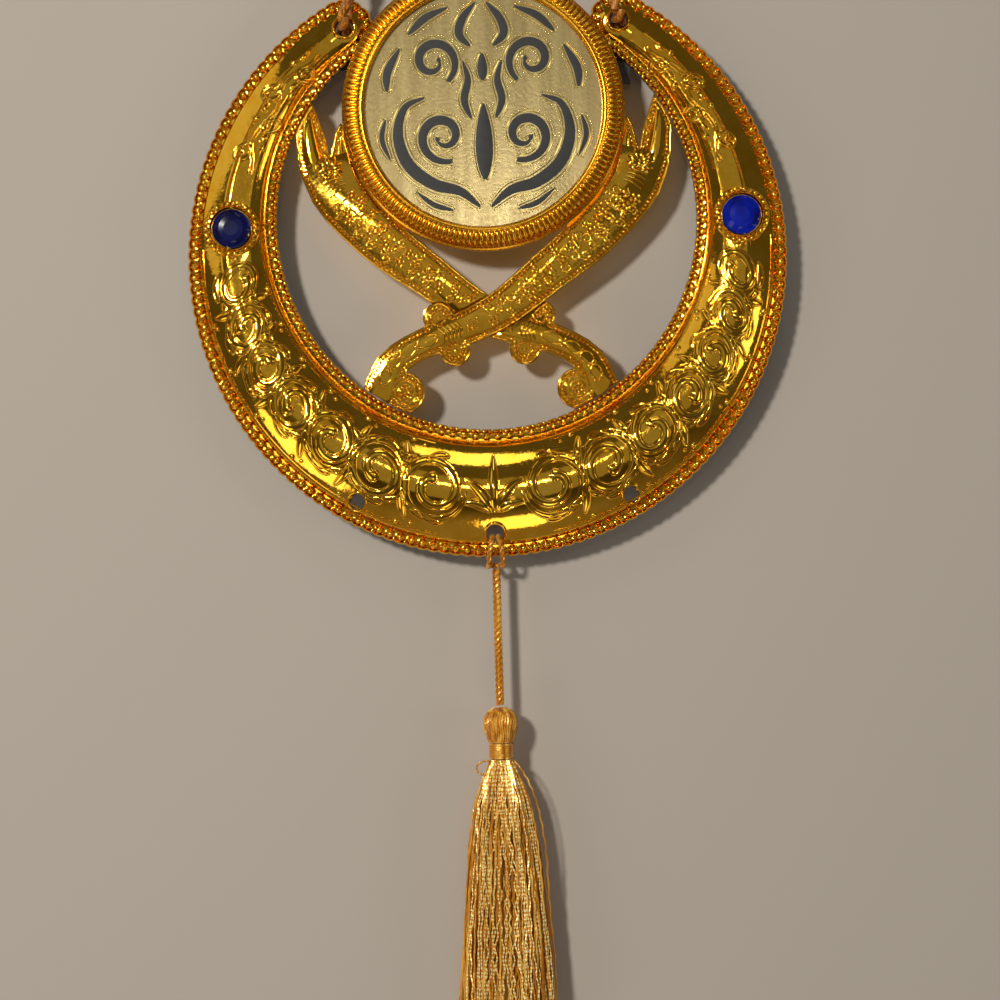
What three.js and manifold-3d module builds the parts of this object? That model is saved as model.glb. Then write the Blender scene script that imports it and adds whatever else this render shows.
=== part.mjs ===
// Hanging door ornament: a gold plated crescent with two crossed swords, a round medallion,
// two blue stones, a twisted hanging cord and a silk tassel.
// Millimetres. X runs to the viewer's right, Y runs away from the viewer, Z runs up.
// Measures below are taken from the crescent's own centre. The finished group is moved so
// that its origin lies under the top of the hanging cord, where a hook carries it.
import * as THREE from "three";
import { mergeGeometries, mergeVertices } from "three/addons/utils/BufferGeometryUtils.js";
import Module from "manifold-3d";

const wasm = await Module();
wasm.setup();

// Clearances between pieces, and how far a cutter reaches past what it cuts
const GLUE_GAP = 0.2;
const SEAT_GAP = 0.3;
const CUT = 1;

// Crescent: two circles whose centres lie one above the other, with round horn tips.
// The outer radius leads. Places and outlines grow with it, while thicknesses, beads,
// holes, threads and clearances keep their own size.
const OUTER_RADIUS = 90;
const GROWTH = OUTER_RADIUS / 90;
const INNER_RADIUS = 63 * GROWTH;
const INNER_RISE = 11.4 * GROWTH;
const TIP_RADIUS = 8.7 * GROWTH;
const FLANGE_THICK = 2;
const EDGE_STEP = 7;
const TIP_STEP = 2.8;
const RIM_WIDTH = 3.6;
const WALL = 1.6;
const DOME_HEIGHT_BOTTOM = 7.5;
const DOME_HEIGHT_HORN = 2.6;
const DOME_END_GAP = 6.4;
const DOME_FULLNESS = 0.75;
const DOME_END_SHARE = 0.12;
const DOME_END_HEIGHT = 0.3;
const DOME_STATIONS = 40;
const DOME_STRIPS = 8;
const BOSS_WALL = 1.2;
const BACK_COVER_THICK = 1.2;
const BACK_COVER_INSET = 0.4;

// Bead rows on the crescent's rims
const BEAD_RADIUS = 1.3;
const BEAD_PITCH = 3.5;
const BEAD_INSET = 2;
const BEAD_SIDES = 5;
const BEAD_RINGS = 2;

// Raised scrollwork on the lower band: volutes one after another from the bottom upward
const SCROLL_COUNT = 6;
const SCROLL_START = 9 * GROWTH;
const SCROLL_SIZE = 9.6 * GROWTH;
const SCROLL_TAPER = 0.034;
const SCROLL_TURNS = 1.3;
const SCROLL_TIGHTEN = 0.58;
const SCROLL_STEPS = 10;
const SCROLL_HALF_WIDE = 1.5;
const SCROLL_PROUD = 0.6;
const SCROLL_SUNK = 0.8;
const BAND_MIDDLE_RADIUS = 77 * GROWTH;

// Holes through the crescent
const HORN_HOLE_RADIUS = 2.8;
const CHARM_HOLE_RADIUS = 2.35;
const CHARM_HOLE_ACROSS = 82 * GROWTH;
const CHARM_HOLE_HEIGHT = -72.2 * GROWTH;
const TASSEL_HOLE_RADIUS = 2.6;
const TASSEL_HOLE_MARGIN = 7.2;
const TASSEL_HOLE_HEIGHT = TASSEL_HOLE_MARGIN - OUTER_RADIUS;
const HOLE_SIDES = 12;

// Blue stones and their round seats
const STONE_RADIUS = 5.8;
const STONE_TABLE_RADIUS = 3.4;
const STONE_TALL = 2.9;
const STONE_GIRDLE = 0.9;
const STONE_SIDES = 12;
const STONE_ACROSS = 152.2 * GROWTH;
const STONE_RISE = 10.2 * GROWTH;
const STONE_SEAT_RADIUS = 8.2;
const STONE_SEAT_PROUD = 5;
const STONE_SEAT_SIDES = 24;
const STONE_POCKET_DEPTH = 1.6;

// Swords
const SWORD_PLATE = 3;
const SWORD_FIELD = 1.4;
const SWORD_BORDER = 2.1;
const SWORD_LAP = 1.5;
const GUARD_LOBE_RADIUS = 4.6 * GROWTH;
const POMMEL_RADIUS = 6.1 * GROWTH;
const LOBE_SIDES = 24;

// Medallion, from its outer rim inward
const MEDALLION_RISE = 43.8 * GROWTH;
const BEZEL_RADIUS = 42.3 * GROWTH;
const BEZEL_FLANGE = 1.3;
const BEZEL_DEPTH = 6;
const BEZEL_FOOT_WIDE = 1.1;
const RIB_COUNT = 72;
const RIB_DEPTH = 0.6;
const RIB_WIDE = 4.3;
const RIB_OUTER_RADIUS = BEZEL_RADIUS - BEZEL_FOOT_WIDE;
const RIB_INNER_RADIUS = RIB_OUTER_RADIUS - RIB_WIDE;
const RIB_SLOPE = 1.1;
const DISC_MARGIN = 1;
const DISC_RADIUS = RIB_INNER_RADIUS - DISC_MARGIN;
const DISC_THICK = 0.8;
const LIP_OVERLAP = 0.6;
const LIP_RADIUS = DISC_RADIUS - LIP_OVERLAP;
const LIP_DROP = 1.9;
const LIP_THICK = 0.6;
const MEDALLION_SIDES = 48;
const CUP_WALL = 1.6;
const CUP_FLOOR = 1.4;

// Rear bridge, a black bar that carries the medallion between the horns
const BRIDGE_HALF_SPAN = 50 * GROWTH;
const BRIDGE_LOW = 58 * GROWTH;
const BRIDGE_TALL = 6;
const BRIDGE_THICK = 2;
const BRIDGE_TAB_INNER = 39.5 * GROWTH;
const BRIDGE_TAB_WIDE = 5;
const BRIDGE_TAB_DROP = 6.2;
const BRIDGE_POST_RADIUS = 3.5;
const BRIDGE_POST_ACROSS = 32 * GROWTH;

// Hanging cord
const CORD_RADIUS = 2.2;
const CORD_RISE = 118 * GROWTH;
const CORD_ARCH_RADIUS = 20 * GROWTH;
const CORD_SIDES = 8;
const CORD_STEP = 8;
const CORD_ARCH_POINTS = 12;
const KNOT_RADIUS = 3.6;
const CORD_END_SIDES = 10;

// Tassel
const LOOP_RADIUS = 0.8;
const LOOP_BAR_RADIUS = 1;
const LOOP_BAR_HALF = 2.9;
const LOOP_STEPS = 18;
const LOOP_SIDES = 6;
const TASSEL_CORD_RADIUS = 1.4;
const TASSEL_CORD_LENGTH = 39.4 * GROWTH;
const HEAD_RADIUS = 5.4 * GROWTH;
const HEAD_LENGTH = 10.7 * GROWTH;
const HEAD_FOOT_RADIUS = 3.7 * GROWTH;
const NECK_RADIUS = 3.9 * GROWTH;
const NECK_LENGTH = 4.6 * GROWTH;
const NECK_ROUNDING = 0.3;
const NECK_CORE_RADIUS = 2.8 * GROWTH;
const ROUND_SIDES = 18;
const SKIRT_LENGTH = 85 * GROWTH;
const SKIRT_SHOULDER = 0.6;
const SKIRT_SPREAD_SHARE = 0.33;
const SKIRT_RADIUS = 15 * GROWTH;
const SKIRT_FLATNESS = 0.62;
const SKIRT_SIDES = 32;
const SKIRT_FOLDS = 8;
const SKIRT_FOLD_DEPTH = 0.05;

// Depths and places worked out from the sizes above. The viewer is at negative Y.
const BEAD_FRONT = -(FLANGE_THICK + BEAD_RADIUS);
const COVER_BACK = GLUE_GAP + BACK_COVER_THICK;
const SWORD_FRONT = -(SWORD_PLATE + SWORD_FIELD);
const BEZEL_BACK = SWORD_FRONT - SEAT_GAP;
const BEZEL_FRONT = BEZEL_BACK - BEZEL_DEPTH;
const CORD_DEPTH = BEAD_FRONT - SEAT_GAP - CORD_RADIUS;
const INNER_CENTRE = new THREE.Vector2(0, INNER_RISE);
const TIP = hornTip();
const OUTER_TIP_ANGLE = Math.atan2(TIP.y, TIP.x);
const INNER_TIP_ANGLE = Math.atan2(TIP.y - INNER_RISE, TIP.x);
const BOTTOM_ANGLE = -Math.PI / 2;

// The centre of the right horn's round tip touches both circles at its radius
function hornTip() {
  const fromOuter = OUTER_RADIUS - TIP_RADIUS;
  const fromInner = INNER_RADIUS + TIP_RADIUS;
  const z = (fromOuter ** 2 - fromInner ** 2 + INNER_RISE ** 2) / (2 * INNER_RISE);
  return new THREE.Vector2(Math.sqrt(fromOuter ** 2 - z ** 2), z);
}

const gold = new THREE.MeshStandardMaterial({ color: 0xd9a520, metalness: 1, roughness: 0.18 });
const goldFoil = new THREE.MeshStandardMaterial({ color: 0xc9b27a, metalness: 1, roughness: 0.3 });
const blackPlastic = new THREE.MeshStandardMaterial({ color: 0x1b1a1c, metalness: 0, roughness: 0.5 });
const blueAcrylic = new THREE.MeshStandardMaterial({ color: 0x10208a, metalness: 0, roughness: 0.05 });
const cordSatin = new THREE.MeshStandardMaterial({ color: 0xd08a2c, metalness: 0, roughness: 0.5 });
const tasselSatin = new THREE.MeshStandardMaterial({ color: 0xe2ab55, metalness: 0, roughness: 0.45 });

const ornament = new THREE.Group();

function addPiece(name, geometry, material) {
  geometry.computeVertexNormals();
  const mesh = new THREE.Mesh(geometry, material);
  mesh.name = name;
  ornament.add(mesh);
}

// A closed geometry with its shared corners joined and its faces turned outward
function closed(geometry) {
  const bare = geometry.clone();
  bare.deleteAttribute("normal");
  bare.deleteAttribute("uv");
  const merged = mergeVertices(bare, 1e-4);
  const p = merged.attributes.position;
  const index = merged.index.array;
  const [a, b, c] = [new THREE.Vector3(), new THREE.Vector3(), new THREE.Vector3()];
  let volume = 0;
  for (let i = 0; i < index.length; i += 3) {
    a.fromBufferAttribute(p, index[i]);
    b.fromBufferAttribute(p, index[i + 1]);
    c.fromBufferAttribute(p, index[i + 2]);
    volume += a.dot(b.cross(c));
  }
  if (volume < 0) {
    merged.setIndex(Array.from(index).reverse());
  }
  return merged;
}

function solid(geometry) {
  const merged = closed(geometry);
  const mesh = new wasm.Mesh({
    numProp: 3,
    vertProperties: new Float32Array(merged.attributes.position.array),
    triVerts: new Uint32Array(merged.index.array),
  });
  return new wasm.Manifold(mesh);
}

function geometryOf(manifold) {
  const mesh = manifold.getMesh();
  const geometry = new THREE.BufferGeometry();
  geometry.setAttribute("position", new THREE.BufferAttribute(new Float32Array(mesh.vertProperties), 3));
  geometry.setIndex(new THREE.BufferAttribute(new Uint32Array(mesh.triVerts), 1));
  return geometry;
}

// A flat piece drawn as the viewer sees it, from depth `back` forward to depth `front`
function plate(shape, back, front) {
  const geometry = new THREE.ExtrudeGeometry(shape, { depth: back - front, bevelEnabled: false });
  geometry.rotateX(Math.PI / 2);
  geometry.translate(0, back, 0);
  return geometry;
}

// A round piece whose axis runs from front to back. Profile points are [radius, depth].
function turned(profile, x, z, sides) {
  const points = profile.map(([radius, depth]) => new THREE.Vector2(radius, depth));
  const geometry = new THREE.LatheGeometry(points, sides);
  geometry.translate(x, 0, z);
  return geometry;
}

// A round piece whose axis runs up. Profile points are [radius, height].
function turnedUpright(profile, y, sides) {
  const points = profile.map(([radius, height]) => new THREE.Vector2(radius, height));
  const geometry = new THREE.LatheGeometry(points, sides);
  geometry.rotateX(Math.PI / 2);
  geometry.translate(0, y, 0);
  return geometry;
}

function disc(radius, x, z, back, front, sides) {
  return turned([[0, front], [radius, front], [radius, back], [0, back]], x, z, sides);
}

// A body through a row of closed rings with the same number of points, capped at both ends
function loft(rings) {
  const count = rings[0].length;
  const positions = rings.flat().flatMap((p) => [p.x, p.y, p.z]);
  const index = [];
  for (let r = 0; r + 1 < rings.length; r++) {
    for (let i = 0; i < count; i++) {
      const a = r * count + i;
      const b = r * count + ((i + 1) % count);
      index.push(a, b, a + count, b, b + count, a + count);
    }
  }
  for (const r of [0, rings.length - 1]) {
    const middle = new THREE.Vector3();
    rings[r].forEach((p) => middle.addScaledVector(p, 1 / count));
    const centre = positions.length / 3;
    positions.push(middle.x, middle.y, middle.z);
    for (let i = 0; i < count; i++) {
      const a = r * count + i;
      const b = r * count + ((i + 1) % count);
      index.push(centre, ...(r === 0 ? [b, a] : [a, b]));
    }
  }
  const geometry = new THREE.BufferGeometry();
  geometry.setAttribute("position", new THREE.Float32BufferAttribute(positions, 3));
  geometry.setIndex(index);
  return geometry;
}

function tube(path, radius, sides, steps) {
  const section = new THREE.Shape();
  for (let i = 0; i < sides; i++) {
    const angle = (2 * Math.PI * i) / sides;
    const point = [radius * Math.cos(angle), radius * Math.sin(angle)];
    i === 0 ? section.moveTo(...point) : section.lineTo(...point);
  }
  return new THREE.ExtrudeGeometry(section, { steps, extrudePath: path, bevelEnabled: false });
}

const smooth = (t) => t * t * (3 - 2 * t);
const both = [-1, 1];

// The four arcs of the crescent's edge, drawn in by `inset`: [centre, radius, from, to]
function crescentArcs(inset) {
  const tip = TIP_RADIUS - inset;
  const leftTip = new THREE.Vector2(-TIP.x, TIP.y);
  return [
    [new THREE.Vector2(0, 0), OUTER_RADIUS - inset, Math.PI - OUTER_TIP_ANGLE, 2 * Math.PI + OUTER_TIP_ANGLE],
    [TIP, tip, OUTER_TIP_ANGLE, Math.PI + INNER_TIP_ANGLE],
    [INNER_CENTRE, INNER_RADIUS + inset, INNER_TIP_ANGLE, -Math.PI - INNER_TIP_ANGLE],
    [leftTip, tip, -INNER_TIP_ANGLE, Math.PI - OUTER_TIP_ANGLE],
  ];
}

// Points along an arc at about `pitch`, without its last point
function pointsOnArc([centre, radius, from, to], pitch) {
  const count = Math.round((radius * Math.abs(to - from)) / pitch);
  const points = [];
  for (let i = 0; i < count; i++) {
    const angle = from + ((to - from) * i) / count;
    points.push(new THREE.Vector2(Math.cos(angle), Math.sin(angle)).multiplyScalar(radius).add(centre));
  }
  return points;
}

function crescentShape(inset) {
  const step = (radius) => (radius > 2 * TIP_RADIUS ? EDGE_STEP : TIP_STEP);
  return new THREE.Shape(crescentArcs(inset).flatMap((arc) => pointsOnArc(arc, step(arc[1]))));
}

// How high the band stands over its flange at each turn round the crescent: 0 at the
// bottom, 1 at a horn tip. It sinks into the flange just before the cord's hole.
function domeHeight(turn) {
  const height = DOME_HEIGHT_BOTTOM + (DOME_HEIGHT_HORN - DOME_HEIGHT_BOTTOM) * smooth(turn);
  const ending = smooth(Math.min(1, (1 - turn) / DOME_END_SHARE));
  return height * (DOME_END_HEIGHT + (1 - DOME_END_HEIGHT) * ending);
}

// A place on the puffed band at a share of the way from its outer to its inner side. The
// turn is negative on the left. A positive wall gives the skin's inner side.
function bandPoint(turn, across, wall) {
  const outerAngle = BOTTOM_ANGLE + turn * (OUTER_TIP_ANGLE - BOTTOM_ANGLE);
  const innerAngle = BOTTOM_ANGLE + turn * (INNER_TIP_ANGLE - BOTTOM_ANGLE);
  const outer = new THREE.Vector2(Math.cos(outerAngle), Math.sin(outerAngle));
  const inner = new THREE.Vector2(Math.cos(innerAngle), Math.sin(innerAngle));
  outer.multiplyScalar(OUTER_RADIUS - RIM_WIDTH - wall);
  inner.multiplyScalar(INNER_RADIUS + RIM_WIDTH + wall).add(INNER_CENTRE);
  const at = outer.lerp(inner, across);
  const rise = domeHeight(Math.abs(turn)) * Math.max(0, Math.sin(Math.PI * across)) ** DOME_FULLNESS;
  return new THREE.Vector3(at.x, -(FLANGE_THICK - wall + rise), at.y);
}

// The puffed band between the bead rows. A positive wall gives the hollow inside it.
function dome(wall) {
  const back = wall > 0 ? CUT : -FLANGE_THICK / 2;
  const endAngle = OUTER_TIP_ANGLE - (DOME_END_GAP + wall) / (OUTER_RADIUS - TIP_RADIUS);
  const reach = (endAngle - BOTTOM_ANGLE) / (OUTER_TIP_ANGLE - BOTTOM_ANGLE);
  const rings = [];
  for (let i = 0; i <= DOME_STATIONS; i++) {
    const turn = reach * ((2 * i) / DOME_STATIONS - 1);
    const ring = [];
    for (let j = 0; j <= DOME_STRIPS; j++) {
      ring.push(bandPoint(turn, j / DOME_STRIPS, wall));
    }
    ring.push(bandPoint(turn, 1, wall).setY(back));
    ring.push(bandPoint(turn, 0, wall).setY(back));
    rings.push(ring);
  }
  return solid(loft(rings));
}

// One volute as a ridge on the band. Flat places are [along the band, across it].
function volute(side, middle, size, over) {
  const bandLength = BAND_MIDDLE_RADIUS * (OUTER_TIP_ANGLE - BOTTOM_ANGLE);
  const flat = [];
  for (let i = 0; i <= SCROLL_STEPS; i++) {
    const wound = (SCROLL_TURNS * i) / SCROLL_STEPS;
    const radius = size * (1 - SCROLL_TIGHTEN * Math.max(0, wound - 0.5));
    const angle = Math.PI * (1 - 2 * wound);
    flat.push(new THREE.Vector2(middle + radius * Math.cos(angle), over * radius * Math.sin(angle)));
  }
  const onBand = (place, lift) => {
    const turn = (side * place.x) / bandLength;
    const width = bandPoint(turn, 0, 0).setY(0).distanceTo(bandPoint(turn, 1, 0).setY(0));
    const at = bandPoint(turn, 0.5 - place.y / width, 0);
    return at.setY(at.y - lift);
  };
  const rings = flat.map((place, i) => {
    const along = flat[Math.min(i + 1, SCROLL_STEPS)].clone().sub(flat[Math.max(i - 1, 0)]).normalize();
    const edge = new THREE.Vector2(-along.y, along.x).multiplyScalar(SCROLL_HALF_WIDE);
    return [
      onBand(place.clone().add(edge), -SCROLL_SUNK),
      onBand(place, SCROLL_PROUD),
      onBand(place.clone().sub(edge), -SCROLL_SUNK),
    ];
  });
  return solid(loft(rings));
}

// All the volutes, each starting where the last one ends and curling the other way
function scrollwork() {
  const ridges = [];
  let start = SCROLL_START;
  for (let k = 0; k < SCROLL_COUNT; k++) {
    const size = SCROLL_SIZE - SCROLL_TAPER * start;
    for (const side of both) {
      ridges.push(volute(side, start + size, size, k % 2 ? -1 : 1));
    }
    start += 2 * size;
  }
  return ridges;
}

// A row of beads on each arc of the edge. The mouldings meet at one bead in each corner.
function rimBeads() {
  const places = crescentArcs(BEAD_INSET).flatMap((arc) => pointsOnArc(arc, BEAD_PITCH));
  return solid(mergeGeometries(places.map((place) => {
    const bead = closed(new THREE.SphereGeometry(BEAD_RADIUS, BEAD_SIDES, BEAD_RINGS));
    bead.rotateY(-place.angle());
    return bead.translate(place.x, -FLANGE_THICK, place.y);
  })));
}

// Every hole through the crescent: [radius, x, z]
function holes() {
  const list = [[TASSEL_HOLE_RADIUS, 0, TASSEL_HOLE_HEIGHT]];
  for (const side of both) {
    list.push([HORN_HOLE_RADIUS, side * TIP.x, TIP.y]);
    list.push([CHARM_HOLE_RADIUS, (side * CHARM_HOLE_ACROSS) / 2, CHARM_HOLE_HEIGHT]);
  }
  return list;
}

function drill(body, back, front) {
  for (const [radius, x, z] of holes()) {
    body = body.subtract(solid(disc(radius, x, z, back, front, HOLE_SIDES)));
  }
  return body;
}

// Crescent front: one hollow moulding with beaded rims, stone seats and hole bosses
function crescentFront() {
  const seatFront = -(FLANGE_THICK + STONE_SEAT_PROUD);
  const deep = seatFront - DOME_HEIGHT_BOTTOM;
  let outside = solid(plate(crescentShape(0), 0, -FLANGE_THICK)).add(dome(0));
  let inside = dome(WALL);
  let bosses;
  for (const [radius, x, z] of holes()) {
    const boss = solid(disc(radius + BOSS_WALL, x, z, 0, deep, HOLE_SIDES)).intersect(outside);
    bosses = bosses ? bosses.add(boss) : boss;
  }
  for (const ridge of scrollwork()) {
    outside = outside.add(ridge);
  }
  for (const side of both) {
    const x = (side * STONE_ACROSS) / 2;
    const seat = disc(STONE_SEAT_RADIUS, x, STONE_RISE, -FLANGE_THICK / 2, seatFront, STONE_SEAT_SIDES);
    outside = outside.add(solid(seat));
    const floor = seatFront + STONE_POCKET_DEPTH;
    const pocket = disc(STONE_RADIUS + SEAT_GAP, x, STONE_RISE, floor, deep, STONE_SEAT_SIDES);
    outside = outside.subtract(solid(pocket));
  }
  const shell = outside.subtract(inside).add(bosses);
  return geometryOf(drill(shell.add(rimBeads()), CUT, deep));
}

// Crescent back: a flat black cover glued behind the front, with the same holes
function crescentBack() {
  const cover = solid(plate(crescentShape(BACK_COVER_INSET), COVER_BACK, GLUE_GAP));
  return geometryOf(drill(cover, COVER_BACK + CUT, -CUT));
}

// Blue stone: a flat-backed round stone with a table and one row of facets
function stone(side) {
  const back = -(FLANGE_THICK + STONE_SEAT_PROUD) + STONE_POCKET_DEPTH - SEAT_GAP;
  const profile = [
    [0, back],
    [STONE_RADIUS, back],
    [STONE_RADIUS, back - STONE_GIRDLE],
    [STONE_TABLE_RADIUS, back - STONE_TALL],
    [0, back - STONE_TALL],
  ];
  return closed(turned(profile, (side * STONE_ACROSS) / 2, STONE_RISE, STONE_SIDES));
}

// Swords. The middle line of the sword that points up and to the right, from the handle's
// foot to the notch between its two points: [x, z, half width].
const grown = (rows) => rows.map((row) => row.map((value) => value * GROWTH));
const SWORD_LINE = grown([
  [-36.2, -46.8, 5.6],
  [-33, -39.5, 5.2],
  [-30, -32, 4.7],
  [-23.5, -27, 4.4],
  [-12.8, -22.8, 4.8],
  [-4.2, -19.8, 5.4],
  [5.5, -14.6, 5.8],
  [17.5, -5.2, 6.4],
  [28.8, 3.4, 7.2],
  [38.2, 12.8, 7.8],
  [44.6, 21.5, 8.3],
  [47.4, 30.5, 8.7],
]);
const GUARD_LOBES = grown([[-10.4, -27.9], [-15.3, -17.8]]);
const [POMMEL] = grown([[-25.9, -40]]);
const LONG_POINT = grown([
  [46.2, 25], [46.4, 31.2], [47.6, 37], [49.5, 43], [51.9, 49.5],
  [55.2, 45.8], [56.5, 40], [56.1, 30], [53, 24],
]);
const SHORT_POINT = grown([
  [38.9, 26], [39.4, 34], [41.2, 38.8], [42.9, 41.4],
  [44.5, 38.8], [45.6, 34], [47, 29], [46, 25],
]);

// The outline of the sword's blade and handle, `trim` narrower on each side
function ribbonShape(side, trim) {
  const line = new THREE.CatmullRomCurve3(SWORD_LINE.map(([x, z, half]) => new THREE.Vector3(x, z, half)));
  const steps = 2 * (SWORD_LINE.length - 1);
  const [left, right] = [[], []];
  for (let i = 0; i <= steps; i++) {
    const at = line.getPoint(i / steps);
    const along = line.getTangent(i / steps).setZ(0).normalize();
    const half = at.z - trim;
    left.push(new THREE.Vector2(side * (at.x - along.y * half), at.y + along.x * half));
    right.unshift(new THREE.Vector2(side * (at.x + along.y * half), at.y - along.x * half));
  }
  return new THREE.Shape([...left, ...right]);
}

function pointShape(side, corners) {
  return new THREE.Shape(corners.map(([x, z]) => new THREE.Vector2(side * x, z)));
}

// The flat body of a sword, grown all round its lobes and ribbon by `grow`
function swordBody(side, grow, back, front) {
  let body = solid(plate(ribbonShape(side, -grow), back, front));
  for (const corners of [LONG_POINT, SHORT_POINT]) {
    body = body.add(solid(plate(pointShape(side, corners), back, front)));
  }
  for (const [x, z] of GUARD_LOBES) {
    body = body.add(solid(disc(GUARD_LOBE_RADIUS + grow, side * x, z, back, front, LOBE_SIDES)));
  }
  return body.add(solid(disc(POMMEL_RADIUS + grow, side * POMMEL[0], POMMEL[1], back, front, LOBE_SIDES)));
}

// The two swords are halved into each other where they cross. `inFront` keeps its face.
function sword(side, inFront) {
  const field = plate(ribbonShape(side, SWORD_BORDER), -SWORD_LAP, SWORD_FRONT);
  let body = swordBody(side, 0, 0, -SWORD_PLATE).add(solid(field));
  const rearLap = -SWORD_LAP + SEAT_GAP / 2;
  const lap = inFront ? [CUT, rearLap - SEAT_GAP] : [rearLap, SWORD_FRONT - CUT];
  body = body.subtract(swordBody(-side, SEAT_GAP, ...lap));
  body = body.subtract(solid(plate(crescentShape(-SEAT_GAP), CUT, SWORD_FRONT - CUT)));
  return geometryOf(body);
}

// Medallion bezel: a ring whose front is pressed into radial ribs
function bezel() {
  const ringAt = (angle, sunk) => {
    const profile = [
      [DISC_RADIUS + SEAT_GAP, BEZEL_BACK],
      [BEZEL_RADIUS, BEZEL_BACK],
      [BEZEL_RADIUS, BEZEL_BACK - BEZEL_FLANGE],
      [RIB_OUTER_RADIUS - sunk, BEZEL_FRONT + RIB_SLOPE + sunk],
      [RIB_INNER_RADIUS, BEZEL_FRONT + sunk],
      [LIP_RADIUS, BEZEL_FRONT + LIP_DROP],
      [DISC_RADIUS + SEAT_GAP, BEZEL_FRONT + LIP_DROP + LIP_THICK],
    ];
    return profile.map(([radius, depth]) => {
      return [radius * Math.cos(angle), depth, MEDALLION_RISE + radius * Math.sin(angle)];
    });
  };
  const steps = 2 * RIB_COUNT;
  const rings = [];
  for (let i = 0; i < steps; i++) {
    rings.push(ringAt((2 * Math.PI * i) / steps, i % 2 ? RIB_DEPTH : 0));
  }
  const count = rings[0].length;
  const index = [];
  for (let i = 0; i < steps; i++) {
    const next = (i + 1) % steps;
    for (let j = 0; j < count; j++) {
      const k = (j + 1) % count;
      index.push(i * count + j, next * count + j, i * count + k);
      index.push(i * count + k, next * count + j, next * count + k);
    }
  }
  const geometry = new THREE.BufferGeometry();
  geometry.setAttribute("position", new THREE.Float32BufferAttribute(rings.flat(2), 3));
  geometry.setIndex(index);
  return closed(geometry);
}

// Medallion disc: a thin foil-faced plate behind the bezel's lip
const DISC_FRONT = BEZEL_FRONT + LIP_DROP + LIP_THICK + GLUE_GAP;

function medallionDisc() {
  const back = DISC_FRONT + DISC_THICK;
  return closed(disc(DISC_RADIUS, 0, MEDALLION_RISE, back, DISC_FRONT, MEDALLION_SIDES));
}

// Medallion back: a shallow black cup whose wall holds the disc against the bezel's lip
function medallionBack() {
  const wallFront = DISC_FRONT + DISC_THICK + GLUE_GAP;
  return closed(turned([
    [0, BEZEL_BACK],
    [DISC_RADIUS, BEZEL_BACK],
    [DISC_RADIUS, wallFront],
    [DISC_RADIUS - CUP_WALL, wallFront],
    [DISC_RADIUS - CUP_WALL, BEZEL_BACK - CUP_FLOOR],
    [0, BEZEL_BACK - CUP_FLOOR],
  ], 0, MEDALLION_RISE, MEDALLION_SIDES));
}

// Rear bridge: glued behind both horns, with two posts that reach the medallion's back
function rearBridge() {
  const back = COVER_BACK + SEAT_GAP + BRIDGE_THICK;
  const front = COVER_BACK + SEAT_GAP;
  const top = BRIDGE_LOW + BRIDGE_TALL;
  const tabOuter = BRIDGE_TAB_INNER + BRIDGE_TAB_WIDE;
  const shape = new THREE.Shape([
    new THREE.Vector2(-BRIDGE_HALF_SPAN, BRIDGE_LOW),
    new THREE.Vector2(BRIDGE_TAB_INNER, BRIDGE_LOW),
    new THREE.Vector2(BRIDGE_TAB_INNER, BRIDGE_LOW - BRIDGE_TAB_DROP),
    new THREE.Vector2(tabOuter, BRIDGE_LOW - BRIDGE_TAB_DROP),
    new THREE.Vector2(tabOuter, BRIDGE_LOW),
    new THREE.Vector2(BRIDGE_HALF_SPAN, BRIDGE_LOW),
    new THREE.Vector2(BRIDGE_HALF_SPAN, top),
    new THREE.Vector2(-BRIDGE_HALF_SPAN, top),
  ]);
  let bridge = solid(plate(shape, back, front));
  for (const side of both) {
    const x = (side * BRIDGE_POST_ACROSS) / 2;
    const z = BRIDGE_LOW + BRIDGE_TALL / 2;
    const post = disc(BRIDGE_POST_RADIUS, x, z, back - BRIDGE_THICK / 2, BEZEL_BACK + SEAT_GAP, ROUND_SIDES);
    bridge = bridge.add(solid(post));
  }
  return geometryOf(bridge);
}

// Hanging cord: straight legs that rise from both horns to a round arch over the hook
const CORD_TOP = TIP.y + CORD_RISE;

function hangingCord() {
  const arch = new THREE.Vector2(0, CORD_TOP - CORD_ARCH_RADIUS);
  const toHorn = TIP.clone().sub(arch);
  const meet = Math.atan2(toHorn.y, toHorn.x) + Math.acos(CORD_ARCH_RADIUS / toHorn.length());
  const touch = new THREE.Vector2(Math.cos(meet), Math.sin(meet)).multiplyScalar(CORD_ARCH_RADIUS).add(arch);
  const foot = TIP.clone().add(touch.clone().sub(TIP).setLength(CORD_RADIUS + SEAT_GAP));
  const path = new THREE.CurvePath();
  const at = (x, z) => new THREE.Vector3(x, CORD_DEPTH, z);
  const points = [];
  for (let i = 0; i <= CORD_ARCH_POINTS; i++) {
    const angle = meet + ((Math.PI - 2 * meet) * i) / CORD_ARCH_POINTS;
    points.push(at(CORD_ARCH_RADIUS * Math.cos(angle), arch.y + CORD_ARCH_RADIUS * Math.sin(angle)));
  }
  path.add(new THREE.LineCurve3(at(foot.x, foot.y), at(touch.x, touch.y)));
  path.add(new THREE.CatmullRomCurve3(points));
  path.add(new THREE.LineCurve3(at(-touch.x, touch.y), at(-foot.x, foot.y)));
  const steps = Math.round(path.getLength() / CORD_STEP);
  return closed(tube(path, CORD_RADIUS, CORD_SIDES, steps));
}

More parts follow.
